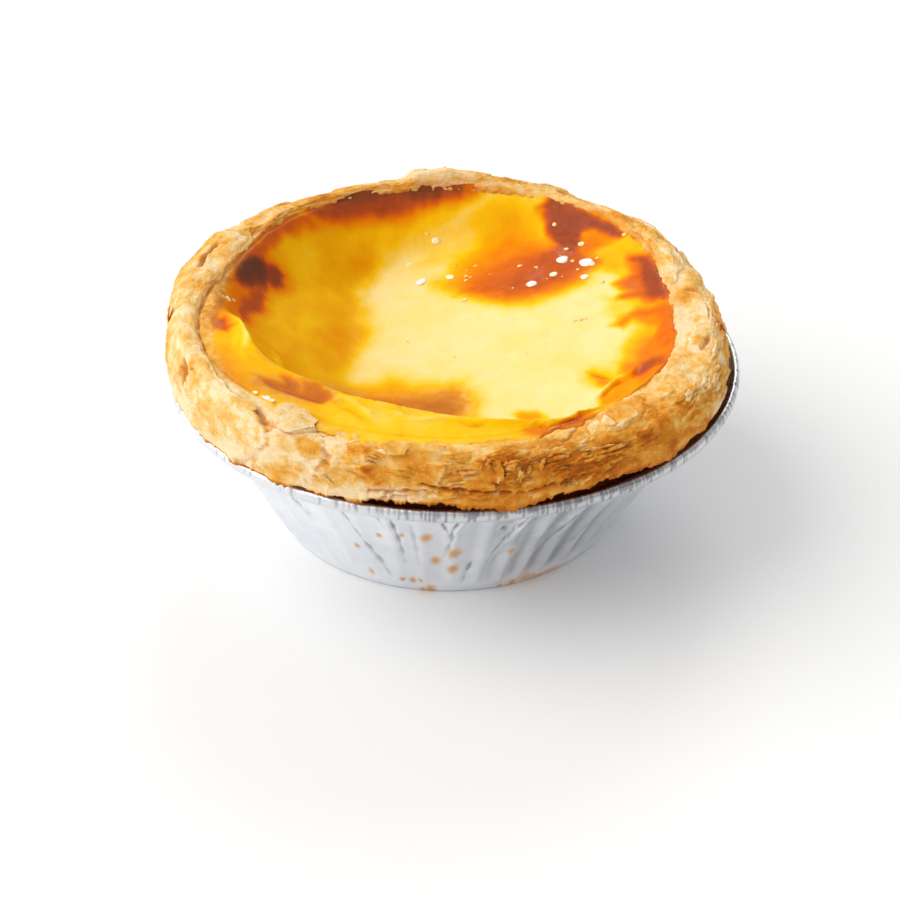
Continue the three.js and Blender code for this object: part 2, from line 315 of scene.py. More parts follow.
# The pleats wander a little to either side, and are deeper on some sides than on others.
slow_wander = cup_sum("MULTIPLY", cup_sum("SINE", cup_sum("MULTIPLY", turn, 5.0)), 0.5)
fast_wander = cup_sum("SINE", cup_sum("MULTIPLY_ADD", turn, 11.0, 1.0))
wander = cup_sum("MULTIPLY_ADD", fast_wander, 0.35, slow_wander)
pleat_turn = cup_sum("MULTIPLY_ADD", turn, cup_in["Pleats"], wander)
sharper = cup_sum("COSINE", cup_sum("MULTIPLY", pleat_turn, 2.0))
pleat_wave = cup_sum("MULTIPLY_ADD", sharper, 0.22, cup_sum("COSINE", pleat_turn))
by_side = cup_sum("COSINE", cup_sum("MULTIPLY_ADD", turn, 3.0, 2.0))
by_side = cup_sum("MULTIPLY_ADD", by_side, 0.25, 0.75)
above_base, below_edge = eased(cup_tree, height, 0.02, 0.14), eased(cup_tree, height, 0.78, 0.91, 1.0, 0.0)
on_wall = cup_sum("MULTIPLY", above_base, below_edge)
depth_here = cup_sum("MULTIPLY", cup_sum("MULTIPLY", on_wall, by_side), cup_in["Pleat Depth"])
out = cup_sum("MULTIPLY_ADD", radius, cup_in["Rim Radius"], cup_sum("MULTIPLY", depth_here, pleat_wave))
lean = cup_sum("MULTIPLY", cup_sum("SUBTRACT", 1.0, height), cup_in["Base Shift"])
bent = add(cup_tree, "ShaderNodeCombineXYZ", {
    "X": cup_sum("MULTIPLY_ADD", cup_sum("COSINE", turn), out, lean),
    "Y": cup_sum("MULTIPLY", cup_sum("SINE", turn), out),
    "Z": cup_sum("MULTIPLY", height, cup_in["Cup Height"]),
})
shaped = add(cup_tree, "GeometryNodeSetPosition", {
    "Geometry": strip.outputs["Mesh"], "Position": bent.outputs[0],
})
joined = add(cup_tree, "GeometryNodeMergeByDistance", {
    "Geometry": shaped.outputs[0], "Distance": 0.000004,
})
soft = add(cup_tree, "GeometryNodeSetShadeSmooth", {"Geometry": joined.outputs[0], "Shade Smooth": True})
close_geometry_tree(cup_tree, soft.outputs[0], cup_in["Finish"])
cup = grow("foil_cup_skin", bpy.data.meshes.new("start_of_cup"), cup_tree, cup_numbers, foil)

# Creases: lines of angle and height, with the width and depth of the fold. Each is also painted dark along
# its line, as painted shade.
CREASES = [
    ([(243.5, 18.8), (246.5, 12.0), (250.5, 5.0), (252, 2.4)], 0.2, 0.24),
    ([(252.5, 18.0), (254.5, 14.4)], 0.22, 0.2), ([(256, 18.6), (257, 12.0), (257.6, 6.0)], 0.24, 0.26),
    ([(272.0, 18.0), (269.8, 14.6), (270.0, 12.4), (268.4, 8.0)], 0.24, 0.34),
    ([(267.6, 16.4), (269.4, 13.2)], 0.2, 0.2),
    ([(287.4, 18.2), (284.6, 14.8), (283.0, 11.0), (280.4, 6.0)], 0.24, 0.36),
    ([(282.0, 17.4), (284.4, 14.6)], 0.2, 0.24), ([(281.6, 14.6), (284.0, 12.8)], 0.2, 0.24),
    ([(301.5, 18.0), (298, 12.0), (296.4, 7.0)], 0.24, 0.3), ([(296, 17.6), (299.2, 14.2)], 0.2, 0.24),
    ([(276, 6.6), (274, 1.6)], 0.3, 0.24), ([(310, 18.0), (306, 7.0), (305, 2.5)], 0.4, 0.3),
    ([(322, 18.2), (318, 8.0)], 0.4, 0.3), ([(231, 18.2), (233, 12.0)], 0.24, 0.2),
    ([(20, 18.0), (23, 6.0)], 0.3, 0.3), ([(64, 18.2), (61, 9.0)], 0.3, 0.3),
    ([(95.6, 17.8), (97.6, 13.0), (97.0, 8.6)], 0.3, 0.22), ([(133, 18.3), (131, 8.0)], 0.3, 0.28),
    ([(161, 17.5), (165, 5.0)], 0.3, 0.3), ([(203, 18.0), (201, 10.0)], 0.3, 0.26),
    ([(348, 18.3), (345, 9.0)], 0.3, 0.3), ([(289, 15.5), (284, 8.5), (279.4, 2.4)], 0.8, 0.22),
    ([(304, 16.5), (298, 8.0), (293.5, 3.0)], 0.8, 0.22), ([(296, 13.0), (290, 6.0)], 0.6, 0.18),
    ([(314, 16.0), (308, 6.0)], 0.7, 0.2), ([(260.6, 15.0), (261.4, 6.0)], 0.6, 0.14),
    ([(331, 16.5), (326, 6.0)], 0.6, 0.2),
]
# Spots of baked fat: angle, height and size.
FAT_SPOTS = [
    (264, 12.9, 1.15), (266, 7.1, 1.0), (271, 9.3, 1.3), (271, 5.5, 1.15), (252, 11.8, 0.6),
    (244, 7.8, 0.65), (246, 2.7, 0.8), (258, 12.8, 0.5), (256, 2.4, 0.55), (259, 2.2, 0.7),
    (261.6, 2.5, 0.5), (264.6, 0.5, 1.0), (262, 0.3, 0.6), (286, 8.8, 0.75), (295, 6.4, 0.5),
    (287, 0.3, 0.5), (291, 0.6, 0.8), (295.5, 0.9, 0.5), (224, 5.7, 0.4), (30, 9.0, 0.8),
    (34, 5.0, 0.6), (112, 11.0, 0.9), (118, 7.0, 0.7), (171, 4.0, 0.8), (338, 6.5, 0.6),
]
points = np.empty(len(cup.data.vertices) * 3, np.float32)
cup.data.vertices.foreach_get("co", points)
points = points.reshape(-1, 3).astype(float) * 1000.0
level_here = points[:, 2].copy()
upright_x = points[:, 0] - BASE_SHIFT * (1.0 - level_here / CUP_HEIGHT)
cup_radius = np.hypot(upright_x, points[:, 1])
cup_angle = np.arctan2(points[:, 1], upright_x)
off_pole = cup_radius > 5.0  # the middle of the base stays as it is
fold = np.zeros(len(points))  # how far the foil is pushed out, or in where it is less than 0
# Painted shade: how dark the foil is painted where shade would fall.
foil_shade = np.zeros(len(points))  # how dark the foil looks there


def wall_offset(at, level):
    """How far each point of the cup is from a place on its wall, round the wall and up it."""
    return apart(cup_angle, at) * cup_radius, (level_here - level) * 1.15


for line, width, depth in CREASES:
    nearest = np.full(len(points), 1e3)
    taper = np.zeros(len(points))
    for k, ((a0, z0), (a1, z1)) in enumerate(zip(line, line[1:])):
        x0, y0 = wall_offset(a0, z0)
        x1, y1 = wall_offset(a1, z1)
        gone, t = off_line(x0, y0, x0 - x1, y0 - y1)
        gone += 1e3 * (np.abs(x0) > 25.0)
        closer = gone < nearest
        nearest = np.where(closer, gone, nearest)
        taper = np.where(closer, 1.0 - 0.75 * ((k + t) / (len(line) - 1)) ** 2, taper)
    nearest += 0.1 * np.sin(level_here * 2.1 + line[0][0])
    fold -= depth * taper * np.exp(-((nearest / width) ** 2))
    # Painted shade along the crease, strongest at the front.
    crease_shade = min(1.15, 0.3 / width) * (0.45 + 0.55 * hump(cup_angle, 276, 48))
    dark = np.exp(-((nearest / max(0.15, 0.5 * width)) ** 2))
    foil_shade = np.maximum(foil_shade, crease_shade * taper * dark)
    fold += 0.45 * depth * taper * np.exp(-(((nearest - 2.2 * width) / width) ** 2))
fold *= smooth(level_here, 1.0, 3.0) * (1.0 - smooth(level_here, 18.3, 19.0)) * off_pole
# Fine upright crimps in the rolled edge, sparse on the left and close together at the front. They are
# painted dark as painted shade.
crimp_draw = np.random.default_rng(8)
columns = cup_numbers["Steps Around"]
column_angle = np.arange(columns) / columns * math.tau
close_set = 0.1 + 0.66 * hump(column_angle, 290, 36) + 0.3 * hump(column_angle, 30, 60)
close_set += 0.15 * hump(column_angle, 120, 30)
crimp = (crimp_draw.uniform(size=columns) < close_set) * crimp_draw.uniform(0.25, 1.0, columns)
how_low = crimp_draw.uniform(EDGE_FOOT, 20.5, columns)
column = np.round(np.mod(cup_angle, math.tau) / math.tau * columns).astype(int) % columns
on_edge = smooth(level_here, how_low[column], how_low[column] + 0.4) * (cup_radius > EDGE_RADIUS)
fold -= 0.1 * crimp[column] * on_edge
# Painted shade: the rolled edge is painted darker at the front right, less on its top.
shaded_front_right = np.maximum(hump(cup_angle, 294, 50), 0.8 * hump(cup_angle, 350, 34))
crimp_shade = (0.45 + 0.4 * shaded_front_right) * crimp[column] * on_edge
bead = smooth(level_here, EDGE_FOOT, 19.9) * (1.0 - 0.5 * smooth(level_here, 20.9, 21.15))
foil_shade = np.maximum(foil_shade, crimp_shade + 0.55 * shaded_front_right * bead * (cup_radius > EDGE_RADIUS))
# The wall at the front right is painted darker as shade, most in the valleys of the pleats.
pleat_turns = PLEATS * cup_angle + 0.5 * np.sin(5 * cup_angle) + 0.35 * np.sin(11 * cup_angle + 1)
valley_shade = 0.22 + 0.5 * (0.5 - 0.5 * np.cos(pleat_turns)) ** 2
on_wall_here = smooth(level_here, 0.5, 4.0) * (1.0 - smooth(level_here, 17.5, 19.0))
foil_shade = np.maximum(foil_shade, valley_shade * hump(cup_angle, 304, 27) * on_wall_here)
# The corner under the rolled edge is painted dark all round, as painted shade.
corner = (1.0 - smooth(level_here, EDGE_FOOT, 19.75)) * (level_here > 18.7) * (cup_radius > 33.0)
foil_shade = np.maximum(foil_shade, 0.45 * corner)
points[:, 0] += fold * np.cos(cup_angle)
points[:, 1] += fold * np.sin(cup_angle)
fat_here = np.zeros(len(points))
for at, level, size in FAT_SPOTS:
    round_, up = wall_offset(at, level)
    fat_here = np.maximum(fat_here, np.clip(1.5 - np.hypot(round_, 0.62 * up) / (0.72 * size), 0.0, 1.3))
# A smear of it ran down to the foot of the wall.
ragged_top = level_here + 0.7 * np.sin(23 * cup_angle)
foot = smooth(level_here, -0.2, 0.3) * (1.0 - smooth(ragged_top, 1.0, 2.6)) * (cup_radius > 20.0)
fat_here = np.maximum(fat_here, 0.9 * foot * hump(cup_angle, 300, 12))
cup.data.vertices.foreach_set("co", (points * MM).astype(np.float32).ravel())
keep_values(cup.data, "baked_fat", fat_here)
keep_values(cup.data, "painted_foil_shade", foil_shade * off_pole * smooth(level_here, 1.0, 3.0))
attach(cup, "root")
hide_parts("foil_cup")


# ---- Pastry shell ------------------------------------------------------------------------------
# Puff pastry: butter rolled into dough in dozens of sheets. In the oven the rim rose, split into
# sheets with torn edges and sank outwards over the foil. It is one piece of dough, pressed into the
# cup by hand, and it browned most at the front right, where the cut edges of the layers show.

PASTRY_AROUND = 900  # steps of the mesh round the rim
GAP = 0.35  # left between two pieces that stick together
SEAT_CLEARANCE = 0.3 + 0.45 + GAP  # foil, depth of a pleat and gap
PASTRY_BOTTOM = 0.65  # height of its underside
PASTRY_FLOOR = 3.2  # height at which the custard starts
SEAT_TOP = 18.8  # the dough leaves the foil here and spreads over its edge
REACH = 36.1  # mean radius of the lip
CUSTARD_RADIUS = 30.5  # mean radius at which the custard starts
CREST_HEIGHT = 29.2
EDGE_DROP = 0.7  # from the crest down to the custard's edge
RIM_MIDDLE = 33.0  # radius at which lengths round the rim are measured
OUTSIDE_WIDTH = 7.6  # from the lip up to the crest, along the surface
INSIDE_WIDTH = 3.4  # from the crest down to the custard


def wave(angle, lobes, size, first):
    """An even swing round the circle, highest at the first of its lobes."""
    return size * np.cos(lobes * (angle - math.radians(first)))


def reach(angle):
    """Outside radius of the rim."""
    lobes = wave(angle, 1, 1.1, 200) + wave(angle, 2, 0.3, 110)
    lobes = lobes + wave(angle, 3, 0.35, 55) + wave(angle, 4, 0.5, 55)
    return REACH + lobes - 0.7 * hump(angle, 180, 25)


def inner_edge(angle):
    """Radius at which the custard meets the pastry."""
    lobes = wave(angle, 1, 1.5, 170) + wave(angle, 2, 1.45, 67) + wave(angle, 3, 0.45, 86)
    return CUSTARD_RADIUS + lobes + wave(angle, 4, 0.4, 38) + wave(angle, 5, 0.5, 51)


def even_crest(angle):
    """Height of the top of the rim, without the tongue that stands up at the back."""
    return CREST_HEIGHT + wave(angle, 1, 1.5, 150) - 0.5 * hump(angle, 120, 18)


def crest_height(angle):
    """Height of the top of the rim, with the tongue."""
    here = np.degrees(np.mod(angle, math.tau))
    return even_crest(angle) + 1.2 * smooth(here, 72, 88) * (1.0 - smooth(here, 100, 104))


def crest_radius(angle):
    """Radius of the top of the rim; it is nearer to the custard at the back and on the left."""
    share = 0.45 - 0.3 * hump(angle, 122, 30) - 0.08 * hump(angle, 180, 40) - 0.1 * hump(angle, 60, 30)
    return inner_edge(angle) + (reach(angle) - inner_edge(angle)) * share


def lip_height(angle):
    """Height of the underside of the rim, over the foil's rolled edge."""
    return 21.55 + 1.1 * hump(angle, 312, 26) + 0.5 * hump(angle, 265, 14)


def boiled_over(angle):
    """How far the custard boiled over onto the dough, past the line where they meet."""
    return 2.7 * hump(angle, 252, 22) + 2.3 * hump(angle, 290, 18) + 0.3 * hump(angle, 68, 14)


def wall_radius(level):
    """Radius of the foil's wall, which bows in a little halfway up."""
    up = level / NECK_HEIGHT
    return 22.0 + 11.2 * up - 0.8 * np.sin(math.pi * up)


def rim_point(angle, share, out):
    """Radius and height on the rim. The share is 0 at the lip, 1 at the crest and 2 at the custard."""
    turned = share * math.pi / 2.0
    cosine, sine = np.cos(turned), np.sin(turned)
    outside = share < 1.0
    across = np.where(outside, reach(angle) - crest_radius(angle), crest_radius(angle) - inner_edge(angle))
    low = np.where(outside, lip_height(angle) + 0.8, even_crest(angle) - EDGE_DROP)
    power = np.where(outside, 0.75, 1.0)
    radius = crest_radius(angle) + np.sign(cosine) * across * np.abs(cosine) ** power + out * cosine
    return radius, low + (crest_height(angle) - low) * np.abs(sine) ** power + out * sine


def random_field(size, octaves, seed, stretch=1.0):
    """Smooth random values on the rim, in lumps of a size; stretch makes them longer round it."""
    start = Vector((seed * 3.7, seed * 1.3, seed * 5.1))
    values = np.empty((len(rim_angles), len(rim_shares)))
    ring = RIM_MIDDLE / stretch
    for i, a in enumerate(rim_angles):
        base = Vector((ring * math.cos(a), ring * math.sin(a), 0.0)) / size + start
        for j, v in enumerate(rim_across):
            values[i, j] = noise.fractal(base + Vector((0.0, 0.0, v / size)), 1.0, 2.0, octaves)
    return values


rim_angles = np.arange(PASTRY_AROUND) / PASTRY_AROUND * math.tau
rim_shares = np.concatenate([np.linspace(0.0, 1.0, 58)[:-1], np.linspace(1.0, 2.0, 30)])
# How far each row of the rim is from the lip, over the crest towards the custard.
down_in = OUTSIDE_WIDTH + (rim_shares - 1.0) * INSIDE_WIDTH
rim_across = np.where(rim_shares < 1.0, rim_shares * OUTSIDE_WIDTH, down_in)
A, S = rim_angles[:, None], rim_shares[None, :]
ragged_large = random_field(2.4, 2, 1, 1.2)
ragged_small = random_field(0.8, 2, 2)
ragged_fine = random_field(0.34, 1, 9)
dough_lumps = random_field(7.0, 2, 3, 1.5)
dough_dents = random_field(2.6, 2, 6, 1.8)
fibres = random_field(0.7, 2, 7, 6.0)
# Where the edge of a sheet has melted into the dough under it, as the distance over which it fades.
melted = 1.3 * np.clip(2.6 * random_field(2.6, 1, 8, 1.3) - 0.15, 0.0, 1.0)
sheet_height = np.zeros_like(ragged_large)  # how far the sheets stand off the dough under them
sheet_tone = 0.3 * random_field(4.0, 2, 4, 1.8)  # how much paler or browner each sheet is
# Painted shade: the dark gaps under torn edges are painted into the dough's colour by this mask.
slit_shade = np.zeros_like(ragged_large)  # 1 in the dark gap under a sheet's torn edge
draw = np.random.default_rng(11)


def depth_inside(u, v, corners):
    """How far points are inside a closed outline, or less than 0 outside it."""
    gap = np.full(u.shape, 1e3)
    within = np.zeros(u.shape, bool)
    for (u0, v0), (u1, v1) in zip(np.roll(corners, 1, axis=0), corners):
        du, dv = u1 - u0, v1 - v0
        gap = np.minimum(gap, off_line(u - u0, v - v0, du, dv)[0])
        within ^= ((v0 > v) != (v1 > v)) & (u < du * (v - v0) / (dv if abs(dv) > 1e-9 else 1e-9) + u0)
    return np.where(within, gap, -gap)


CRISPEST = 0.14  # how far from its edge the crispest sheet has its full thickness


def lay_sheet(corners, thickness, tone, shadow, tear=1.0):
    """Lays a baked sheet on the rim, by the corners of its outline in degrees and way across."""
    corners = np.array(corners, float)
    at = corners[:, 0].mean()
    corners[:, 0] = np.radians(corners[:, 0] - at) * RIM_MIDDLE
    step = math.tau / PASTRY_AROUND
    reach_steps = int((np.abs(corners[:, 0]).max() + 1.2) / RIM_MIDDLE / step) + 2
    nearby = np.arange(-reach_steps, reach_steps + 1)
    rows = (nearby + round(math.radians(at) / step)) % PASTRY_AROUND
    u = nearby[:, None] * step * RIM_MIDDLE + 0.0 * rim_across[None, :]
    v = rim_across[None, :] + 0.0 * u
    torn = 0.42 * ragged_large[rows] + 0.26 * ragged_small[rows] + 0.14 * ragged_fine[rows]
    inside = depth_inside(u, v, corners) + torn * tear
    fades = CRISPEST + melted[rows] * min(1.0, tear)
    crisp = CRISPEST / fades
    cover = smooth(inside, 0.0, fades)
    # A crisp edge curls up and is painted paler along it, a painted highlight; the gap beside it is painted
    # dark, a painted shadow as strong as the shadow given.
    edge = cover * np.exp(-((inside - 0.15) / 0.22) ** 2) * crisp
    sunk_in = sheet_height[rows] * (1.0 - 0.35 * cover)
    sheet_height[rows] = sunk_in + cover * thickness + edge * 0.5 * thickness
    shadow_under_edge = np.where(inside < 0.02, np.exp(-((inside + 0.03) / 0.2) ** 2), 0.0) * crisp
    slit_shade[rows] = np.maximum(slit_shade[rows] * (1.0 - cover), shadow * shadow_under_edge)
    sheet_tone[rows] += (tone - sheet_tone[rows]) * cover - 0.2 * edge


def torn_outline(at, across, length, width, turned):
    """Corners of a torn sheet: its middle, half sizes and turn in degrees."""
    count = int(draw.integers(5, 9))
    turns_ = (np.arange(count) + draw.uniform(-0.35, 0.35, count)) / count * math.tau
    sizes_ = draw.uniform(0.65, 1.2, count)
    p, q = length * sizes_ * np.cos(turns_), width * sizes_ * np.sin(turns_)
    c, s = math.cos(math.radians(turned)), math.sin(math.radians(turned))
    return [(at + math.degrees((x * c - y * s) / RIM_MIDDLE), across + x * s + y * c) for x, y in zip(p, q)]


def torn_sheet(at, across, lengths, widths, turned, thicknesses, tones, shadows, tear=1.0):
    """Lays a torn sheet, with each size drawn between the least and the most that are given."""
    length, width = draw.uniform(*lengths), draw.uniform(*widths)
    outline = torn_outline(at, across, length, width, draw.uniform(-turned, turned))
    lay_sheet(outline, draw.uniform(*thicknesses), draw.uniform(*tones), draw.uniform(*shadows), tear)


# Broad sheets all round, then smaller ones on them, fewest on the calm left side.
for at in np.arange(0.0, 360.0, 12.0):
    outline = torn_outline(at + draw.uniform(-6, 6), draw.uniform(1.5, 9.5), draw.uniform(6, 11),
                           draw.uniform(1.8, 3.4), draw.uniform(-10, 10))
    lay_sheet(outline, draw.uniform(0.08, 0.16), draw.uniform(-0.14, 0.12), 0.3)
for i in range(75):
    at = draw.uniform(0, 360)
    here = math.radians(at)
    calm = max(hump(here, 190, 32), 0.8 * hump(here, 95, 40), 0.5 * hump(here, 5, 30))
    if draw.uniform() < 0.9 * calm:
        continue
    torn_sheet(at, draw.uniform(0.5, 10.0), (2.0, 5.0), (0.8, 2.0), 22,
               (0.07, 0.16), (-0.25, 0.28), (0.2, 0.6))
# The cut edges of the layers, one over the other. They are low on the front, and softer and farther
# apart towards the back: how many, between which angles, the ways across to choose from and how far
# off them, then the sizes of a torn sheet as above.
LEDGES = [
    (46, (254, 304), np.arange(0.5, 4.4, 0.55), 0.15,
     (1.6, 5.5), (0.22, 0.45), 9, (0.16, 0.36), (-0.3, 0.3), (0.5, 1.0)),
    (52, (308, 516), np.arange(0.6, 5.6, 0.7), 0.2,
     (2.0, 6.5), (0.25, 0.6), 6, (0.12, 0.24), (-0.18, 0.25), (0.15, 0.5)),
    (30, (152, 238), np.arange(0.3, 3.4, 0.5), 0.15,
     (2.0, 7.0), (0.2, 0.5), 5, (0.1, 0.22), (-0.15, 0.2), (0.3, 0.7)),
]
for count, angles, layers, off, *sizes in LEDGES:
    for i in range(count):
        at = draw.uniform(*angles)
        torn_sheet(at, draw.choice(layers) + draw.uniform(-off, off), *sizes, 0.7)
# Scales and shreds, on the front: how many, about which angle and how closely, up to which way
# across, the sizes as above, and how torn.
SHREDS = [
    (90, 272, 38, 8.0, (0.7, 1.9), (0.3, 0.8), 40, (0.06, 0.16), (-0.3, 0.3), (0.2, 0.7), 0.7),
    (46, 244, 8, 6.6, (0.4, 1.5), (0.25, 0.7), 60, (0.05, 0.14), (-0.28, 0.24), (0.2, 0.6), 0.6),
]
for count, middle, spread, top, *sizes in SHREDS:
    for i in range(count):
        at = middle + spread * draw.standard_normal()
        torn_sheet(at, draw.uniform(0.2, top), *sizes)
# Shreds that stand on end at the front, right of the middle.
ON_END = [(278, 2.6, 1.4), (281.5, 2.2, 1.5), (283.5, 3.2, 1.2), (276, 4.0, 1.0), (286, 3.4, 1.0)]
for at, across, size in ON_END:
    outline = torn_outline(at, across, size, 0.4, 75 + draw.uniform(-12, 12))
    lay_sheet(outline, 0.4, draw.uniform(-0.25, 0.0), 1.0, 0.5)

# The sheets at the front left, each laid over the last: outline, thickness, tone, painted shadow and tear.
LAID_BY_HAND = [
    ([(231, 0.2), (233, 3.0), (236, 5.2), (240, 5.6), (246, 3.6), (244, 0.4)], 0.14, -0.16, 0.4, 0.9),
    ([(232, 0.7), (236, 1.5), (242, 1.7), (244, 1.0), (238, 0.5)], 0.10, 0.24, 0.4, 0.7),
    ([(244, 6.2), (245, 3.4), (249, 1.8), (254, 2.6), (254, 6.6), (249, 7.4)], 0.16, -0.18, 0.4, 0.9),
    ([(252, 3.2), (253, 1.0), (257, 0.9), (257, 3.2)], 0.08, 0.26, 0.3, 0.8),
    ([(257, 4.6), (258, 0.8), (267, 0.6), (268, 3.9), (263, 4.9)], 0.2, -0.06, 0.6, 1.0),
    ([(237, 5.0), (241, 5.8), (245, 5.6), (245.5, 3.4), (243, 2.5), (240, 3.3)], 0.12, 0.24, 0.5, 0.6),
    ([(248, 5.2), (251, 6.8), (256, 6.4), (255, 4.4), (251, 4.2)], 0.10, 0.2, 0.4, 0.8),
    ([(262, 7.2), (268, 6.6), (274, 6.8), (272, 4.6), (265, 4.8)], 0.10, 0.14, 0.4, 0.9),
    ([(231.5, 7.2), (233, 9.0), (236.5, 9.8), (241.5, 8.6), (243, 7.2), (239.5, 5.2), (237.5, 4.8),
      (235, 5.8)], 0.3, -0.08, 0.7, 0.4),
    ([(150, 12.5), (154, 1.0), (176, -0.6), (224, -0.6), (231.5, 0.9), (234.5, 2.6), (233, 4.9),
      (229, 6.7), (222, 7.2), (214, 8.3), (207, 9.3), (201, 10.6), (196, 12.5)], 0.2, -0.04, 0.5, 0.7),
]
for outline, thickness, tone, shadow, tear in LAID_BY_HAND:
    lay_sheet(outline, thickness, tone, shadow, tear)

# Cracks, as lines of angle and way across, that show the raw orange crumb inside; the deeper ones are
# painted darker, as painted shade in the crack.
CRACKS = [
    ([(158, 6.8), (163, 6.6), (168, 7.0)], 0.34, 0.9), ([(205.6, 4.0), (206.2, 3.4)], 0.75, 0.9),
    ([(204.6, 4.8), (205.4, 4.2)], 0.35, 0.9), ([(206.6, 3.2), (206.2, 2.3)], 0.3, 0.8),
    ([(205.9, 3.7), (207.7, 3.9)], 0.28, 0.7), ([(204.2, 2.9), (203.4, 2.2)], 0.26, 0.6),
    ([(208.2, 4.9), (209.2, 5.3)], 0.22, 0.6), ([(203, 1.4), (206, 0.9)], 0.2, 0.5),
    ([(342, 7.4), (347, 6.8)], 0.22, 0.6), ([(10, 8.2), (8, 6.0)], 0.22, 0.7),
    ([(359, 5.4), (357, 3.2)], 0.25, 0.7), ([(62, 3.0), (66, 4.0)], 0.3, 0.6),
    ([(112, 3.5), (118, 3.0)], 0.3, 0.5), ([(30, 4.0), (27, 6.0)], 0.3, 0.5),
    ([(264, 1.6), (267, 1.1), (271, 1.1), (275, 0.9), (280, 0.6)], 0.12, 0.9),
    ([(281, 0.5), (285, 0.6), (289, 0.9), (292, 0.5)], 0.12, 0.9),
    ([(229.6, 7.0), (231.2, 6.2), (232.4, 5.0)], 0.5, 0.75), ([(232.6, 5.6), (234.2, 5.2)], 0.34, 0.6),
    ([(245.4, 4.4), (247, 3.4), (246.4, 2.6)], 0.22, 0.5), ([(251, 2.2), (254, 1.6)], 0.2, 0.5),
]
crack = np.zeros_like(slit_shade)
for line, width, depth in CRACKS:
    for (a0, v0), (a1, v1) in zip(line, line[1:]):
        du, dv = math.radians(a1 - a0) * RIM_MIDDLE, v1 - v0
        gone = off_line(apart(A, a0) * RIM_MIDDLE, rim_across[None, :] - v0, du, dv)[0] + 0.16 * ragged_small
        crack = np.maximum(crack, depth * (1.0 - smooth(gone, 0.5 * width, 1.5 * width)))
slit_shade = np.maximum(slit_shade, crack)

# How brown the oven left each part, from 0, pale, to 1, and the sides that it browned more or less:
# angle, half width and by how much.
BROWNER = [
    (350, 22, -0.02), (200, 30, -0.05), (331, 14, -0.06), (244, 14, -0.04),
    (55, 34, 0.045), (94, 24, -0.11), (140, 26, 0.17), (230, 14, -0.03),
]
low_down = 1.0 - smooth(rim_across[None, :], 3.5, 7.5)
front_low = 0.2 * hump(A, 272, 34) * (0.4 + 0.6 * low_down)
toast = 0.222 + front_low + (0.13 + 0.18 * low_down) * hump(A, 304, 21)
for at, width, browner in BROWNER:
    toast = toast + browner * hump(A, at, width)
toast = toast + 0.2 * dough_lumps + 0.16 * dough_dents + 0.07 * fibres
# The side towards the custard is a thin wet film, and egg soaked into it at the front.
film = smooth(S, 1.3, 1.7) * (0.25 + 0.75 * np.maximum(hump(A, 188, 42), 0.7 * hump(A, 150, 30)))
past_custard = rim_point(A, S, 0.0)[0] - inner_edge(A)
seeped = 1.0 - smooth(past_custard + 0.5 * ragged_large, boiled_over(A) - 0.2, boiled_over(A) + 1.6)
film = np.maximum(film, 0.9 * seeped * (S > 0.8) * hump(A, 268, 40))
fade = 1.0 - smooth(S, 1.6, 2.0)
lumps = 0.16 * np.cos(9 * A + 2 * S) + 0.14 * np.cos(17 * A - 3 * S + 1) + 0.08 * np.cos(29 * A + 6 * S)
calm = np.maximum(hump(A, 197, 34), np.maximum(0.7 * hump(A, 95, 45), 0.6 * hump(A, 5, 25)))
relief = (lumps * (1 - 0.75 * calm) + 0.3 * dough_lumps + 0.16 * dough_dents + sheet_height - 0.2
          + 0.2 * hump(A, 272, 36) - 0.2 * slit_shade - 0.5 * crack + 0.045 * ragged_small + 0.05 * fibres)
# A lump of dough that folded over at the back.
folded_over = smooth(A, math.radians(88), math.radians(93))
folded_over = folded_over * (1.0 - smooth(A, math.radians(99), math.radians(102)))
relief += 0.5 * folded_over * smooth(S, 0.2, 0.7)
relief = relief * (0.25 + 0.75 * fade)
# Where custard boiled over it, the dough is soaked and smooth.
soaked = (S > 1.0) * (1.0 - smooth(past_custard, boiled_over(A) - 0.5, boiled_over(A) + 0.5))
relief = relief * (1.0 - 0.9 * soaked) - 0.06 * soaked
slit_shade *= 1.0 - soaked

rim_r, rim_z = rim_point(A, S, relief)
rim_r += (0.35 * ragged_large + 0.2 * ragged_small) * smooth(S, 1.5, 2.0)


def ring_rows(around, *rows):
    """Rows of radius and height, each one number or one for every step around, side by side."""
    full = [np.stack([np.broadcast_to(value, around) for value in row], axis=1) for row in rows]
    return np.stack(full, axis=1)


a = rim_angles
lip = lip_height(a) + 0.35 * hump(a, 255, 26) - 0.75 * hump(a, 281, 7) - 0.5 * hump(a, 252, 4)
# The underside breaks off in steps, where one sheet after another ends.
steps = 2.2 * ragged_large[:, 3] + 0.6 * ragged_small[:, 2]
lip += 0.3 * (np.floor(steps) + smooth(steps - np.floor(steps), 0.3, 0.7)) + 0.2 * ragged_small[:, 0]
# Torn tips hang from it.
tips = np.clip(1.0 - 4.5 * np.abs(ragged_fine[:, 1]), 0.0, 1.0)
lip -= 0.34 * tips * (0.3 + 0.7 * hump(a, 265, 40))
below = ring_rows(
    PASTRY_AROUND,
    (wall_radius(PASTRY_BOTTOM) - SEAT_CLEARANCE - 1.0, PASTRY_BOTTOM),
    *((wall_radius(z) - SEAT_CLEARANCE, z) for z in (1.5, 7.0, 14.0, SEAT_TOP)),
    (wall_radius(SEAT_TOP) - SEAT_CLEARANCE + 0.3, lip + 0.15),
    (reach(a) - 1.3, lip + 0.1), (rim_r[:, 0] - 0.75, lip + 0.05), (rim_r[:, 0] - 0.4, lip + 0.1),
    (rim_r[:, 0] - 0.12, lip + 0.35),
)
edge_z = even_crest(a) - EDGE_DROP
well = ring_rows(
    PASTRY_AROUND,
    *((inner_edge(a) - inset, edge_z + (PASTRY_FLOOR + 1.2 - edge_z) * share)
      for inset, share in ((0.9, 0.15), (1.6, 0.3), (4.6, 0.65), (9.5, 1.0))),
    (inner_edge(a) - 12.0, PASTRY_FLOOR),
)


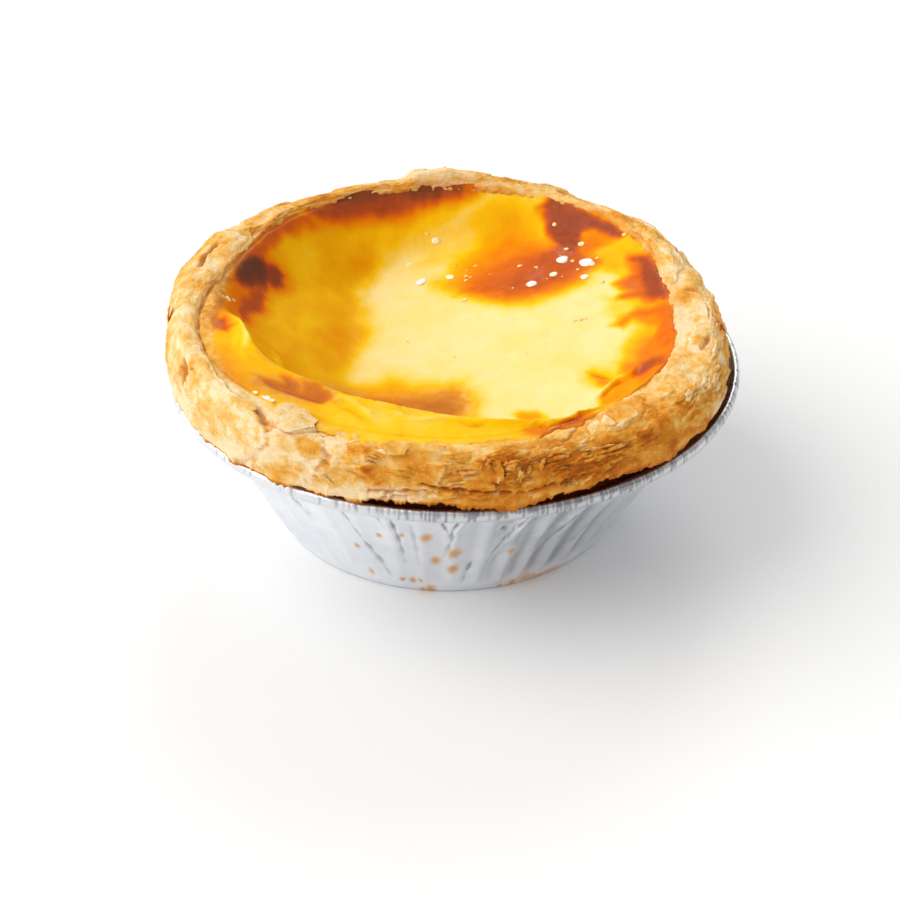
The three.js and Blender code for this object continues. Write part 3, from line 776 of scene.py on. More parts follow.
def turned_mesh(name, rows, bottom, top):
    """A closed mesh from rows of radius and height round the axis, ending in a point at each pole."""
    around, along_ = rows.shape[:2]
    turn_ = np.arange(around)[:, None] / around * math.tau
    lean_ = BASE_SHIFT * np.clip(1.0 - rows[..., 1] / CUP_HEIGHT, 0.0, 1.0)
    x, y = rows[..., 0] * np.cos(turn_) + lean_, rows[..., 0] * np.sin(turn_)
    places = np.stack([x, y, rows[..., 1]], axis=-1).reshape(-1, 3)
    poles = [(BASE_SHIFT * max(0.0, 1.0 - z / CUP_HEIGHT), 0.0, z) for z in (bottom, top)]
    places = np.concatenate([places, poles]) * MM
    i = np.arange(around)[:, None] * along_ + np.arange(along_ - 1)[None, :]
    j = (i + along_) % (around * along_)
    quads = np.stack([i, j, j + 1, i + 1], axis=-1).reshape(-1, 4).tolist()
    first = np.arange(around) * along_
    after = np.roll(first, -1)
    low_pole, high_pole = np.full(around, around * along_), np.full(around, around * along_ + 1)
    low_fan = np.stack([low_pole, after, first], axis=1).tolist()
    high_fan = np.stack([high_pole, first + along_ - 1, after + along_ - 1], axis=1).tolist()
    mesh = bpy.data.meshes.new(name)
    mesh.from_pydata(places.tolist(), [], quads + low_fan + high_fan)
    mesh.shade_smooth()
    return mesh


def over_all(values, start, rows, fill=0.0):
    """Values of the fine rows, with the fill for the other rows and the two poles."""
    full = np.full((values.shape[0], rows), float(fill))
    full[:, start:start + values.shape[1]] = values
    return np.concatenate([full.ravel(), [fill, fill]])


shell_rows = np.concatenate([below, np.stack([rim_r, rim_z], axis=-1), well], axis=1)
shell_mesh = turned_mesh("pastry_crust", shell_rows, PASTRY_BOTTOM, PASTRY_FLOOR)
rows = shell_rows.shape[1]
# The lip stayed paler at the front and on the left.
at_lip = 1.0 - smooth(rim_across[None, :] + 0.6 * ragged_large, 0.1, 1.1)
toast -= 0.2 * at_lip * np.maximum(hump(A, 268, 46), hump(A, 205, 50))
keep_values(shell_mesh, "toast", over_all(toast + 0.8 * sheet_tone, below.shape[1], rows, 0.75))
# Shade is painted on the underside, and it gets lighter over its last three rows, up to the lip.
underside_shade = np.broadcast_to(np.array([0.8, 0.4, 0.1]), (PASTRY_AROUND, 3))
shade_rows = np.concatenate([underside_shade, slit_shade], axis=1)
keep_values(shell_mesh, "slit_shade", over_all(shade_rows, below.shape[1] - 3, rows, 1.0))
keep_values(shell_mesh, "film", over_all(film, below.shape[1], rows))
shell = set_out("pastry_crust", shell_mesh)

CRUST_COLOURS = [
    (0.0, (248, 220, 174)), (0.16, (240, 196, 120)), (0.34, (234, 168, 68)), (0.52, (218, 136, 36)),
    (0.74, (184, 96, 18)), (1.0, (126, 58, 14)),
]
# Colours of the painted shade in slits, cracks and under the lip.
SLIT_SHADE_COLOURS = [(0.25, (228, 146, 50)), (0.6, (196, 102, 26)), (1.0, (166, 94, 44))]
WET_DOUGH_COLOURS = [(0.34, (206, 134, 52)), (0.5, (232, 170, 82)), (0.66, (246, 206, 140))]


def crust_finish(name):
    """Baked puff pastry: pale where it is thick, golden where it is thin, and painted brown in its slits as
    painted shade.
    """
    crust, tree, shader = new_finish(name, {
        "Roughness": 0.6, "Specular IOR Level": 0.08, "Subsurface Weight": 0.1,
        "Subsurface Radius": (1.0, 0.5, 0.2), "Subsurface Scale": 0.0012, "Coat Roughness": 0.25,
    })
    toast_at, slit_shade_at, film_at = stored(tree, "toast"), stored(tree, "slit_shade"), stored(tree, "film")
    blotch, mottle = grain_of(tree, 330.0, 3.0), grain_of(tree, 1000.0, 3.0)
    speck = grain_of(tree, 3300.0, 2.0)
    bake = toast_at
    for uneven, most in ((blotch, 0.12), (mottle, 0.09), (speck, 0.03)):
        bake = sum_of(tree, "ADD", bake, eased(tree, uneven, 0.3, 0.7, -most, most))
    baked = colour_ramp(tree, bake, CRUST_COLOURS)
    # The film is dough at the back and egg at the front.
    place = add(tree, "ShaderNodeTexCoord").outputs["Object"]
    place_y = add(tree, "ShaderNodeSeparateXYZ", {0: place}).outputs["Y"]
    dough_film = colour_ramp(tree, mottle, WET_DOUGH_COLOURS)
    egg_film = colour_ramp(tree, mottle, [(0.35, (244, 176, 44)), (0.65, (250, 204, 96))])
    film_colour = blend(tree, eased(tree, place_y, -0.026, -0.014, 1.0, 0.0), dough_film, egg_film)
    wet = blend(tree, sum_of(tree, "MULTIPLY", film_at, 0.75), baked, film_colour)
    slit_shade_colour = colour_ramp(tree, slit_shade_at, SLIT_SHADE_COLOURS)
    layers = bump(tree, grain_of(tree, 620.0, 4.0, 3.6), 0.45, 0.75)
    pimples = bump(tree, mottle, 0.15, 0.8, layers)
    feed(tree, shader, {
        "Base Color": blend(tree, sum_of(tree, "MULTIPLY", slit_shade_at, 0.85), wet, slit_shade_colour),
        "Roughness": eased(tree, mottle, 0.3, 0.7, 0.5, 0.7),
        "Coat Weight": sum_of(tree, "MULTIPLY", film_at, 0.3),
        "Normal": bump(tree, speck, 0.06, 0.8, pimples),
    })
    return crust


crust = crust_finish("baked_pastry")
shell_mesh.materials.append(crust)
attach(shell, "root")
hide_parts("pastry_shell")


# ---- Loose flakes ------------------------------------------------------------------------------
# Thin shreds of single sheets, baked crisp, that tore loose and curled up off the rim. Each still
# hangs on by its lower side.

FLAKE_THICKNESS = 0.1
# The outline of each in degrees and way across from the lip, its lift in degrees, curl and tone.
FLAKES = [
    ([(232, 7.4), (232.6, 8.8), (235, 10.0), (237.2, 9.7), (241, 8.9), (243, 7.5), (240.5, 6.0),
      (238, 5.0), (235.6, 5.6)], 7, 0.25, 0.16),
    ([(246.4, 7.4), (248, 8.1), (251, 7.9), (252, 7.1), (249, 6.4)], 9, 0.3, 0.14),
    ([(256, 6.3), (258, 7.0), (262, 6.5), (261, 5.4), (257.6, 5.2)], 9, 0.3, 0.28),
    ([(268, 5.4), (270, 6.0), (273, 5.6), (272, 4.8)], 12, 0.3, 0.32),
    ([(276.6, 4.1), (278.0, 4.4), (278.8, 3.0), (278.4, 1.9), (277.4, 2.6),
      (277.0, 3.2)], 10, 0.3, 0.42),
    ([(280.4, 3.7), (281.5, 3.3), (282.2, 2.2), (281.4, 0.9), (280.6, 1.6),
      (280.9, 2.4)], 10, 0.3, 0.38),
    ([(290, 5.4), (292, 6.2), (295, 5.7), (293, 4.9)], 10, 0.3, 0.5),
    ([(224, 6.0), (226, 6.9), (229.4, 6.6), (229, 5.7), (226, 5.3)], 8, 0.3, 0.16),
    ([(243.5, 1.0), (246.5, 1.6), (248.6, 0.6), (246, 0.2)], 6, 0.2, 0.25),
    ([(316, 6.2), (320, 7.0), (323, 6.2), (319, 5.5)], 8, 0.3, 0.36),
    ([(60, 6.6), (64, 7.4), (68, 6.6), (64, 5.9)], 8, 0.3, 0.3),
    ([(183, 3.4), (183.6, 4.6), (186, 5.2), (187.4, 3.8), (185.6, 3.0)], 18, 0.3, 0.42),
    ([(353, 3.8), (354, 5.0), (357, 5.2), (358.6, 4.2), (356, 3.2)], 16, 0.3, 0.46),
]
flake_draw = np.random.default_rng(5)


def rim_place(angle, across):
    """A point on the dough and its directions round the rim, up across it and out of it."""
    def at(a, v):
        share = v / OUTSIDE_WIDTH if v < OUTSIDE_WIDTH else 1.0 + (v - OUTSIDE_WIDTH) / INSIDE_WIDTH
        i = int(round(a / math.tau * PASTRY_AROUND)) % PASTRY_AROUND
        j = int(np.argmin(np.abs(rim_shares - share)))
        r, z = rim_point(np.float64(a), np.float64(share), np.float64(relief[i, j]))
        return np.array([r * math.cos(a), r * math.sin(a), z])
    middle = at(angle, across)
    round_ = at(angle + 0.04, across) - at(angle - 0.04, across)
    up = at(angle, across + 0.8) - at(angle, across - 0.8)
    round_ /= np.linalg.norm(round_)
    out_ = np.cross(round_, up)
    out_ /= np.linalg.norm(out_)
    return middle, round_, np.cross(out_, round_), out_


flake_points, flake_faces, flake_tones = [], [], []
for outline, lift, curl, tone in FLAKES:
    corners = np.array(outline, float)
    centre = corners.mean(axis=0)
    corners = (corners - centre) * [math.radians(1.0) * RIM_MIDDLE, 1.0]
    # Points all round the outline, evenly spaced and a little ragged.
    closed = np.vstack([corners, corners[:1]])
    run = np.concatenate([[0.0], np.cumsum(np.hypot(*np.diff(closed, axis=0).T))])
    sides = 30
    stops = np.arange(sides) / sides * run[-1]
    ragged = 1.0 + 0.06 * flake_draw.standard_normal(sides)
    edge_u, edge_v = (np.interp(stops, run, closed[:, k]) * ragged for k in (0, 1))
    if (edge_u * np.roll(edge_v, -1) - edge_v * np.roll(edge_u, -1)).sum() < 0.0:
        edge_u, edge_v = edge_u[::-1], edge_v[::-1]
    rings = 3
    u, v = (np.concatenate([[0.0], *(edge * ring / rings for ring in range(1, rings + 1))])
            for edge in (edge_u, edge_v))
    half = float(v.max() - v.min()) / 2.0
    above_hinge = (v - v.min()) / (2.0 * half)
    # The lower side is held in the dough; the upper one stands off it and bends over.
    stands = 2.0 * half * math.tan(math.radians(lift)) * above_hinge + curl * 0.5 * half * above_hinge ** 3
    stands += 0.05 * np.sin(2.6 * u + 40 * tone) - 0.06
    middle, round_, up, out_ = rim_place(math.radians(centre[0]), centre[1])
    upper = middle + u[:, None] * round_ + v[:, None] * up + (stands + FLAKE_THICKNESS)[:, None] * out_
    # The dough falls away from a flat flake on both sides, so the flake bends with it.
    upper -= (u ** 2 / (2.0 * RIM_MIDDLE) + v ** 2 / 12.0)[:, None] * out_
    lower = upper - FLAKE_THICKNESS * out_
    top = len(flake_points)
    count = len(u)
    bottom = top + count
    flake_points.extend([*upper.tolist(), *lower.tolist()])
    for i in range(sides):
        j = (i + 1) % sides
        flake_faces.append((top, top + 1 + i, top + 1 + j))
        flake_faces.append((bottom, bottom + 1 + j, bottom + 1 + i))
        for ring in range(rings - 1):
            p, q = 1 + ring * sides, 1 + (ring + 1) * sides
            flake_faces.append((top + p + i, top + q + i, top + q + j, top + p + j))
            flake_faces.append((bottom + p + j, bottom + q + j, bottom + q + i, bottom + p + i))
        rim = 1 + (rings - 1) * sides
        flake_faces.append((top + rim + i, bottom + rim + i, bottom + rim + j, top + rim + j))
    flake_tones.extend([tone] * (2 * count))
flake_mesh = bpy.data.meshes.new("loose_flakes")
flake_mesh.from_pydata((np.array(flake_points) * MM).tolist(), [], flake_faces)
keep_values(flake_mesh, "toast", flake_tones)
keep_values(flake_mesh, "slit_shade", np.zeros(len(flake_points)))
keep_values(flake_mesh, "film", np.zeros(len(flake_points)))
flake_mesh.materials.append(crust)
flakes = set_out("loose_flakes", flake_mesh)
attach(flakes, "root")


# ---- Crumbs ------------------------------------------------------------------------------------
# Small hard crumbs of the same dough. They broke off the layers as these opened, and are baked onto
# the front of the rim.

crumb_numbers = {"Crumbs per Square Metre": 170000.0, "Crumb Size": 0.00015, "Seed": 3}
crumb_tree, crumb_in = new_geometry_tree("stuck_crumbs", crumb_numbers, takes_shape=True)
broken = add(crumb_tree, "GeometryNodeInputNamedAttribute", {"Name": "broken"}, data_type="FLOAT")
how_many = crumb_in["Crumbs per Square Metre"]
strewn = add(crumb_tree, "GeometryNodeDistributePointsOnFaces", {
    "Mesh": crumb_in["Shape"], "Seed": crumb_in["Seed"],
    "Density": sum_of(crumb_tree, "MULTIPLY", broken.outputs["Attribute"], how_many),
})
bit = add(crumb_tree, "GeometryNodeMeshIcoSphere", {"Radius": crumb_in["Crumb Size"], "Subdivisions": 1})
size_limits = {"Min": (0.4, 0.5, 0.3), "Max": (1.7, 1.3, 1.1)}
sizes = add(crumb_tree, "FunctionNodeRandomValue", size_limits, data_type="FLOAT_VECTOR")
turn_limits = {"Min": (0.0, 0.0, 0.0), "Max": (6.2, 6.2, 6.2)}
turns = add(crumb_tree, "FunctionNodeRandomValue", turn_limits, data_type="FLOAT_VECTOR")
placed = add(crumb_tree, "GeometryNodeInstanceOnPoints", {
    "Points": strewn.outputs["Points"], "Instance": bit.outputs["Mesh"],
    "Rotation": turns.outputs[0], "Scale": sizes.outputs[0],
})
close_geometry_tree(crumb_tree, placed.outputs[0], crumb_in["Finish"])
# They lie thickest in the slits and between the lumps, from just above the lip up to the crest.
where = smooth(rim_across[None, :], 0.2, 1.2) * (1.0 - smooth(rim_across[None, :], 5.5, 9.0))
where = np.clip(where * (0.15 + hump(A, 285, 45)) * (0.25 + slit_shade + 0.6 * np.clip(dough_lumps, 0, 1)), 0, 1)
crumb_bed = shell_mesh.copy()
keep_values(crumb_bed, "broken", over_all(where * (rim_shares[None, :] > 0.04), below.shape[1], rows))
crumbs = grow("stuck_crumbs", crumb_bed, crumb_tree, crumb_numbers, crust)
for label, value in (("toast", 0.34), ("slit_shade", 0.0), ("film", 0.0)):
    old = crumbs.data.attributes.get(label)
    if old is not None:
        crumbs.data.attributes.remove(old)
    keep_values(crumbs.data, label, np.full(len(crumbs.data.vertices), value))
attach(crumbs, "root")


# ---- Custard -----------------------------------------------------------------------------------
# Egg yolk, milk and sugar, poured into the raw shell and baked very hot. It puffed up, scorched in
# patches under the grill and sank as it cooled, which left a steep side, a fold of skin along the
# front and wrinkles. It sticks to the pastry all round.

CUSTARD_AROUND = 480  # steps of the mesh round the custard
SHELF_WIDTH = 5.4  # of the level strip at the front, where it is broadest
FLOOR_HEIGHT = 21.0  # of the sunken floor, on the axis
FLOOR_TILT = 0.2  # how steeply the floor rises, and the way in degrees that it rises to
FLOOR_UPHILL = 25.0
LEFT_SLOPE = 0.7  # how steep the slope on the left is, and the side all round
SIDE_SLOPE = 1.3
TUCKED_UNDER = 0.3  # how far the edge of the skin dips into the dough


def soft_max(a, b, softness=1.6):
    """The greater of two heights, with a rounded change from one to the other."""
    share = np.clip(0.5 + (a - b) / (2.0 * softness), 0.0, 1.0)
    return b + (a - b) * share + softness * share * (1.0 - share)


def shelf_width(angle):
    """Width of the level strip between the dough and the fold of skin."""
    here = np.degrees(np.mod(angle, math.tau))
    return SHELF_WIDTH * smooth(here, 172, 202) * (1.0 - smooth(here, 258, 302))


def custard_height(angle, radius):
    """Height of the skin: a tilted floor, a slope on the left, a steep side and a shelf at the front."""
    x, y = radius * np.cos(angle), radius * np.sin(angle)
    uphill = math.radians(FLOOR_UPHILL)
    floor = FLOOR_HEIGHT + FLOOR_TILT * (x * math.cos(uphill) + y * math.sin(uphill))
    left = floor + LEFT_SLOPE * (-12.5 + 7.0 * smooth(y, 18, 32) - x)
    beyond = inner_edge(angle) - GAP - radius - shelf_width(angle)
    side = even_crest(angle) - EDGE_DROP + 0.3 - SIDE_SLOPE * soft_max(0.0 * beyond, beyond)
    folds = 1.0 + 0.3 * np.cos(9 * angle) + 0.2 * np.cos(14 * angle + 1)
    here = np.maximum(shelf_width(angle) / SHELF_WIDTH, 0.8 * hump(angle, 300, 40))
    ridge = 0.75 * here * folds * np.exp(-(((beyond + 0.4) / 0.8) ** 2))
    crisp = 0.35 * here * np.exp(-(((beyond + 0.1 + 0.3 * np.sin(13 * angle)) / 0.28) ** 2))
    return soft_max(soft_max(floor, left), side) + ridge + crisp


# How baked each patch is (0.3 yellow, 0.5 orange, 0.7 brown, 0.85 maroon, 1 black), how softly it
# ends in millimetres, and its outline.
SCORCHES = [
    # Yellow skin at the back, between the band and the cloud.
    (0.19, 2.0, [(-12, 18), (-9.6, 22.4), (-6.3, 25.2), (-2, 27.2), (1, 29), (2.8, 31), (-2, 31),
                 (-8, 29), (-12, 25)]),
    (0.14, 2.2, [(-7.4, 21.4), (-3.3, 21.8), (-0.6, 21.4), (1.6, 22.8), (3, 25.4), (4, 27.2),
                 (4.8, 28.4), (3.5, 30), (2.1, 29.7), (0.2, 28.3), (-1.9, 27), (-4.7, 25.5)]),
    # The band along the back left, and the streak that runs down from it along the dough.
    (0.54, 1.2, [(-20, 23.6), (-16.4, 24.8), (-12, 26.6), (-8, 27.4), (-4.6, 28.6), (-1.6, 29.6),
                 (3.2, 30.2), (4.6, 33), (-8, 34), (-18, 30)]),
    (0.76, 0.9, [(-19.6, 24), (-17.2, 24.8), (-14.4, 26.5), (-11.4, 27.7), (-9, 28), (-5.8, 28.8),
                 (-3.7, 29.6), (0.6, 30.4), (1.4, 34), (-8, 34), (-18, 30)]),
    (0.9, 0.8, [(-17, 26.8), (-14.2, 28.2), (-10.6, 29.5), (-6.4, 30), (-1.9, 30.4), (-1.6, 31.6),
                (-8.5, 31.6), (-14.7, 29.6)]),
    (0.46, 1.0, [(-28.2, 9), (-26.8, 13.2), (-25, 17.4), (-22.4, 21.4), (-19, 25), (-17.6, 24.4),
                 (-20, 21.4), (-22.2, 18), (-24, 14), (-25.2, 11)]),
    (0.66, 0.9, [(-27.2, 10.6), (-26.2, 13.6), (-24.6, 17.4), (-22.4, 20.8), (-19.6, 24), (-19.2, 23.2),
                 (-21.4, 20.2), (-23.2, 16.8), (-24.6, 13.4), (-25.6, 11)]),
    # The black blister on the left, and the brown run below it.
    (0.5, 1.6, [(-29, 5), (-27.4, 9), (-25, 13.4), (-21.4, 13.4), (-21.4, 10), (-24, 7.6), (-24, 4),
                (-25.6, -0.6), (-28.8, -5)]),
    (0.84, 0.7, [(-28.3, 5.3), (-27.5, 8.1), (-26.2, 10.8), (-24.9, 12.4), (-24.2, 12), (-22.8, 13),
                 (-22, 12.6), (-22.2, 10.6), (-23.1, 9.4), (-24.5, 9.2), (-24.8, 7.6), (-26, 6.4)]),
    (1.0, 0.8, [(-28, 6.4), (-27.2, 9), (-25.4, 11.6), (-24.4, 10.8), (-24.8, 9), (-26.2, 7)]),
    (0.72, 0.8, [(-26, 6.2), (-24.8, 7.6), (-24.4, 6.7), (-24.6, 4.4), (-25.5, 1.9), (-26.5, -0.5),
                 (-27.1, -3.2), (-26.7, 1.9)]),
    (0.66, 0.8, [(-29.2, -6), (-27.8, -5.6), (-26.9, -8.6), (-27.8, -9.2), (-29, -7.9)]),
    (0.38, 2.2, [(-14.1, 22.8), (-11.6, 23.7), (-11, 22.6), (-12, 21.2), (-14.1, 20.8), (-14.6, 21.7)]),
    # The wide cloud at the back right, darkest along its near side.
    (0.28, 2.6, [(-3.2, 17.9), (-1.1, 20.6), (1.5, 24), (3.6, 27), (5.6, 29), (8.4, 29.4), (11.4, 26.6),
                 (17, 20), (20.4, 16.7), (17.5, 12.2), (14, 9.9), (9.9, 8.8), (6.4, 9.5), (3, 11.7),
                 (-0.6, 14.8)]),
    (0.46, 2.8, [(-0.1, 17), (2.8, 21.2), (5.2, 25), (7.4, 26.4), (10, 24.8), (13, 22.4), (17, 18.6),
                 (18.8, 16.5), (16.1, 12.7), (12, 10.9), (7, 10.8), (3, 13)]),
    (0.6, 2.4, [(1.4, 14.4), (4.1, 18), (7.2, 20.4), (11.3, 21.4), (15.5, 20.6), (18.4, 16.4),
                (15.3, 13), (11.5, 11.5), (7, 11.6)]),
    (0.68, 2.2, [(5.8, 15), (9.6, 18.6), (13.4, 21.4), (16.4, 20), (17.4, 17), (14.4, 14), (10.6, 12.8),
                 (7.4, 13)]),
    (0.8, 0.9, [(11.5, 28), (13, 29.6), (16.4, 28), (19.8, 25), (21, 23.4), (22.6, 20.8), (21.6, 20.4),
                (20.3, 21.6), (18.6, 23.9), (17.1, 24.3), (16.7, 21.9), (15.4, 19.9), (13.8, 20.4),
                (12.9, 24.1), (12.6, 26.4)]),
    (0.5, 1.6, [(15.6, 24), (18.6, 23.6), (20.6, 20.6), (18.4, 18.6), (15.4, 19.8)]),
    # The right side: one dark scorch with points that lick inwards, and a strip below it.
    (0.28, 1.4, [(19.4, 20.5), (20.8, 18.3), (22, 15.1), (21.1, 12.9), (19.6, 14.3), (18.4, 17.5)]),
    (0.17, 1.6, [(19.0, 8.0), (20.7, 7.4), (22.6, 5.6), (22.0, 2.9), (20.2, 2.4), (18.6, 4.6)]),
    (0.58, 1.2, [(22.8, 16.6), (25.6, 15), (28, 8), (27.6, 3), (25, 4.6), (23.6, 6.6), (21.8, 6.8),
                 (20.9, 7), (22.4, 8.6), (20.6, 10.6), (22.6, 12.6)]),
    (0.8, 0.9, [(23.5, 15.6), (25.1, 14.4), (26.7, 9.8), (27.2, 5.4), (26.4, 4), (25.1, 6.5),
                (24, 10.4)]),
    (0.44, 1.2, [(19.5, 1.2), (21.5, 3.2), (23.5, 4.4), (26.6, 3.6), (28, 0), (27, -8), (24.6, -6.6),
                 (24.6, -1.4), (22.6, 1.8), (20.8, 0)]),
    (0.56, 1.2, [(22.6, 3.2), (26.3, 3.2), (28.4, 0), (27.6, -9), (25, -6), (25.4, -1.2), (25, 1.8)]),
    (0.3, 2.0, [(19.6, -9.5), (20.1, -6.6), (21.1, -4.1), (22.1, -2.5), (23.6, -1), (26, -2), (26, -8),
                (22, -10)]),
    (0.5, 1.4, [(20.8, -9.7), (21.6, -7.3), (22.9, -4.6), (23.8, -3), (28, -3), (27.4, -10),
                (25.4, -15.6), (23.2, -17), (21.6, -11)]),
    (0.76, 0.9, [(21.9, -9.9), (22.6, -8.9), (22.9, -7.6), (24.2, -7.2), (25.7, -9), (25.3, -11.9),
                 (24.2, -10), (22.9, -9.9)]),
    (0.38, 0.8, [(17.5, -14), (18.4, -12.7), (19, -11.3), (19.7, -10.6), (21.3, -10.4), (23, -11.4),
                 (24, -15.4), (22.5, -19.6), (20.3, -22.3), (18.2, -22)]),
    (0.24, 1.6, [(16, -7.4), (17.2, -6.9), (19, -7.7), (20.1, -9.9), (19.1, -11.7), (18, -12.3),
                 (16.8, -11.4), (16, -9.6)]),
    (0.42, 0.7, [(16.7, -8.3), (18.2, -9.2), (19.2, -10.2), (18.8, -11.2), (18, -11.1), (17.4, -9.8)]),
    # The bottom of the dip at the front is browned and painted darker under the fold as painted shade; then
    # marks along the shelf.
    (0.3, 3.0, [(-14.8, -4), (-12.2, -3.3), (-9.4, -2.9), (-7.9, -1.9), (-6.8, -2.7), (-5.1, -4.3),
                (-1.7, -5.4), (1.1, -5.7), (2.3, -7.9), (2.9, -11), (1.6, -15), (-2, -18.6),
                (-7, -20.4), (-11.6, -18.6), (-14.8, -13.5), (-16, -8.5)]),
    (0.42, 3.0, [(-14.6, -6), (-11.5, -5.4), (-8.7, -6), (-5.9, -6.9), (-3.1, -7.9), (-0.3, -7.4),
                 (1, -8.8), (1.6, -11.6), (0.2, -14.6), (-3.2, -17.6), (-7.6, -19), (-11.6, -16.8),
                 (-14.6, -11.6)]),
    (0.62, 3.2, [(-13.8, -7.6), (-10, -8), (-7, -9.2), (-4.5, -10.2), (-2.8, -11.2), (-2, -13),
                 (-3.6, -15.6), (-7.4, -17.6), (-11, -15.4), (-13.6, -11)]),
    (0.38, 1.9, [(-23.6, -18.9), (-21.8, -18.9), (-20.3, -20.1), (-17.2, -22), (-14.3, -22.8),
                 (-13.7, -23.9), (-15.7, -24.4), (-18.3, -24), (-21, -22.6), (-22.8, -21)]),
    (0.6, 0.9, [(-17.5, -21.3), (-15.8, -21.9), (-14.6, -22.8), (-14.8, -23.4), (-16.3, -23.1),
                (-17.5, -22.3)]),
    (0.38, 1.6, [(-27.5, -13), (-26, -16), (-24.6, -19.2), (-22.7, -20.6), (-23, -23), (-26, -22),
                 (-28, -17)]),
    (0.36, 1.0, [(7.1, -14.2), (8.3, -13.9), (10, -14.5), (11.3, -15.9), (10, -17.4), (7.4, -16.6)]),
    (0.5, 1.2, [(8, -28.4), (10, -27.9), (12.3, -27), (15.5, -24), (16.4, -25), (13.6, -29.4),
                (11, -31), (8, -30)]),
    (0.7, 0.8, [(10.6, -28.3), (12.1, -27.6), (13.5, -25.8), (14.4, -24.9), (14.2, -26.3), (12.9, -28),
                (11.6, -29.4)]),
]
# Paler spots, in the same terms.
PALER = [
    (0.2, 2.4, [(-22.0, 18.4), (-20.1, 20.7), (-17.4, 21.2), (-17.2, 18.2), (-20.0, 15.6),
                (-22.4, 16.4)]),
    # A pale streak at the back, a painted highlight.
    (0.11, 1.0, [(-11.4, 18.6), (-9.5, 21.9), (-7.4, 24.4), (-4.9, 26.2), (-2.8, 27.2), (-0.3, 28.7),
                 (1.9, 29.8), (3.5, 30.4), (3.6, 29.4), (1.9, 28.6), (-0.3, 27.5), (-2.8, 25.9),
                 (-4.9, 24.8), (-7.2, 22.8), (-9.0, 20.6), (-10.6, 17.8)]),
    (0.2, 1.6, [(5.1, 30.0), (6.9, 29.0), (8.9, 27.6), (10.2, 25.7), (8.2, 25.1), (6.2, 26.9),
                (4.6, 28.7)]),
    (0.22, 1.6, [(-20.4, 5.4), (-19.1, 8.2), (-17.6, 5.6), (-19.3, 2.3)]),
    # Pale strips along the ridges of the shelf at the front left, painted highlights.
    (0.14, 0.8, [(-27.0, -4.6), (-26.9, -1.4), (-26.1, -2.4), (-25.0, -8.6), (-24.4, -13.4),
                 (-25.3, -13.4), (-26.0, -8.6)]),
    (0.15, 1.4, [(-21.6, -11.0), (-19.6, -13.6), (-17.6, -17.4), (-19.0, -18.0), (-21.4, -15.0)]),
]
# Folds and grooves of the skin: a line on the custard, width, lift and how much more it is baked. The raised
# folds are painted paler, a painted highlight; the grooves are painted darker, partly browning and partly
# painted shade.
WRINKLES = [
    ([(16.6, -8.1), (18.0, -9.0), (19.3, -10.2)], 0.3, -0.3, 0.22),
    ([(17.2, -13.8), (18.1, -12.5), (18.8, -11.2), (19.6, -10.5), (21.4, -10.3),
      (22.5, -9.0)], 0.4, 0.5, -0.08),
    ([(17.6, -14.2), (18.6, -12.7), (19.2, -11.5), (21.4, -10.9)], 0.25, -0.2, 0.16),
    ([(9.6, -27.1), (11.1, -27.4), (12.5, -26.2), (14.2, -24.7), (15.6, -24.3)], 0.4, 0.5, -0.14),
    ([(9.6, -28.1), (11.1, -28.4), (12.4, -27.2), (14.4, -25.3)], 0.26, -0.3, 0.3),
    ([(1.2, -27.4), (2.3, -27.9), (3.8, -28.2)], 0.26, -0.25, 0.1),
    ([(-27.0, 0.4), (-26.3, -4.6), (-25.4, -8.6), (-24.7, -13.2)], 0.6, 0.4, -0.04),
    ([(-26.8, -8.0), (-26.2, -12.2), (-24.6, -16.4)], 0.5, 0.3, -0.03),
    ([(-22.6, -3.9), (-21.4, -7.6), (-20.6, -12.0), (-19.2, -15.8)], 0.5, 0.4, -0.07),
    ([(-22.6, -19.5), (-21.1, -20.7), (-19.9, -21.4), (-18.7, -22.4), (-17.5, -23.1), (-15.7, -23.6),
      (-14.5, -23.4)], 0.55, -0.4, 0.3),
    ([(-20.3, -18.8), (-19.7, -20.5), (-18.6, -21.7)], 0.36, -0.3, 0.34),
    ([(-18.8, -17.6), (-16.4, -19.6), (-13.4, -21.6), (-11.0, -23.0)], 0.4, 0.4, -0.08),
    ([(-14.6, -23.9), (-13.0, -24.2), (-11.4, -25.1), (-10.2, -25.8),
      (-8.9, -26.9)], 0.36, 0.34, -0.06),
    ([(-13.6, -25.6), (-11.4, -26.4), (-9.6, -27.4)], 0.34, -0.2, 0.07),
    ([(-7.8, -26.5), (-4.7, -27.0), (-1.6, -27.2), (1.0, -27.0)], 0.4, 0.3, -0.05),
    ([(-6.0, 27.0), (-9.8, 23.6), (-12.2, 19.0), (-12.4, 12.0), (-10.6, 7.6)], 0.7, 0.1, 0.0),
]

skin_share = np.concatenate([np.linspace(0.0, 0.62, 62)[1:], np.linspace(0.62, 1.0, 96)[1:]])[::-1]
b = (np.arange(CUSTARD_AROUND) / CUSTARD_AROUND * math.tau)[:, None]
frayed = 0.25 * np.sin(23 * b + 2 * np.sin(5 * b)) + 0.2 * np.sin(41 * b + 3 * np.sin(7 * b))
frayed += 0.12 * np.sin(97 * b)
skin_edge = inner_edge(b) + boiled_over(b) * (1.0 + 0.6 * frayed) + 0.15 * frayed
skin_r = (skin_edge + TUCKED_UNDER) * skin_share[None, :]
skin_x, skin_y = skin_r * np.cos(b), skin_r * np.sin(b)
skin_z = custard_height(b, np.minimum(skin_r, inner_edge(b) - GAP))
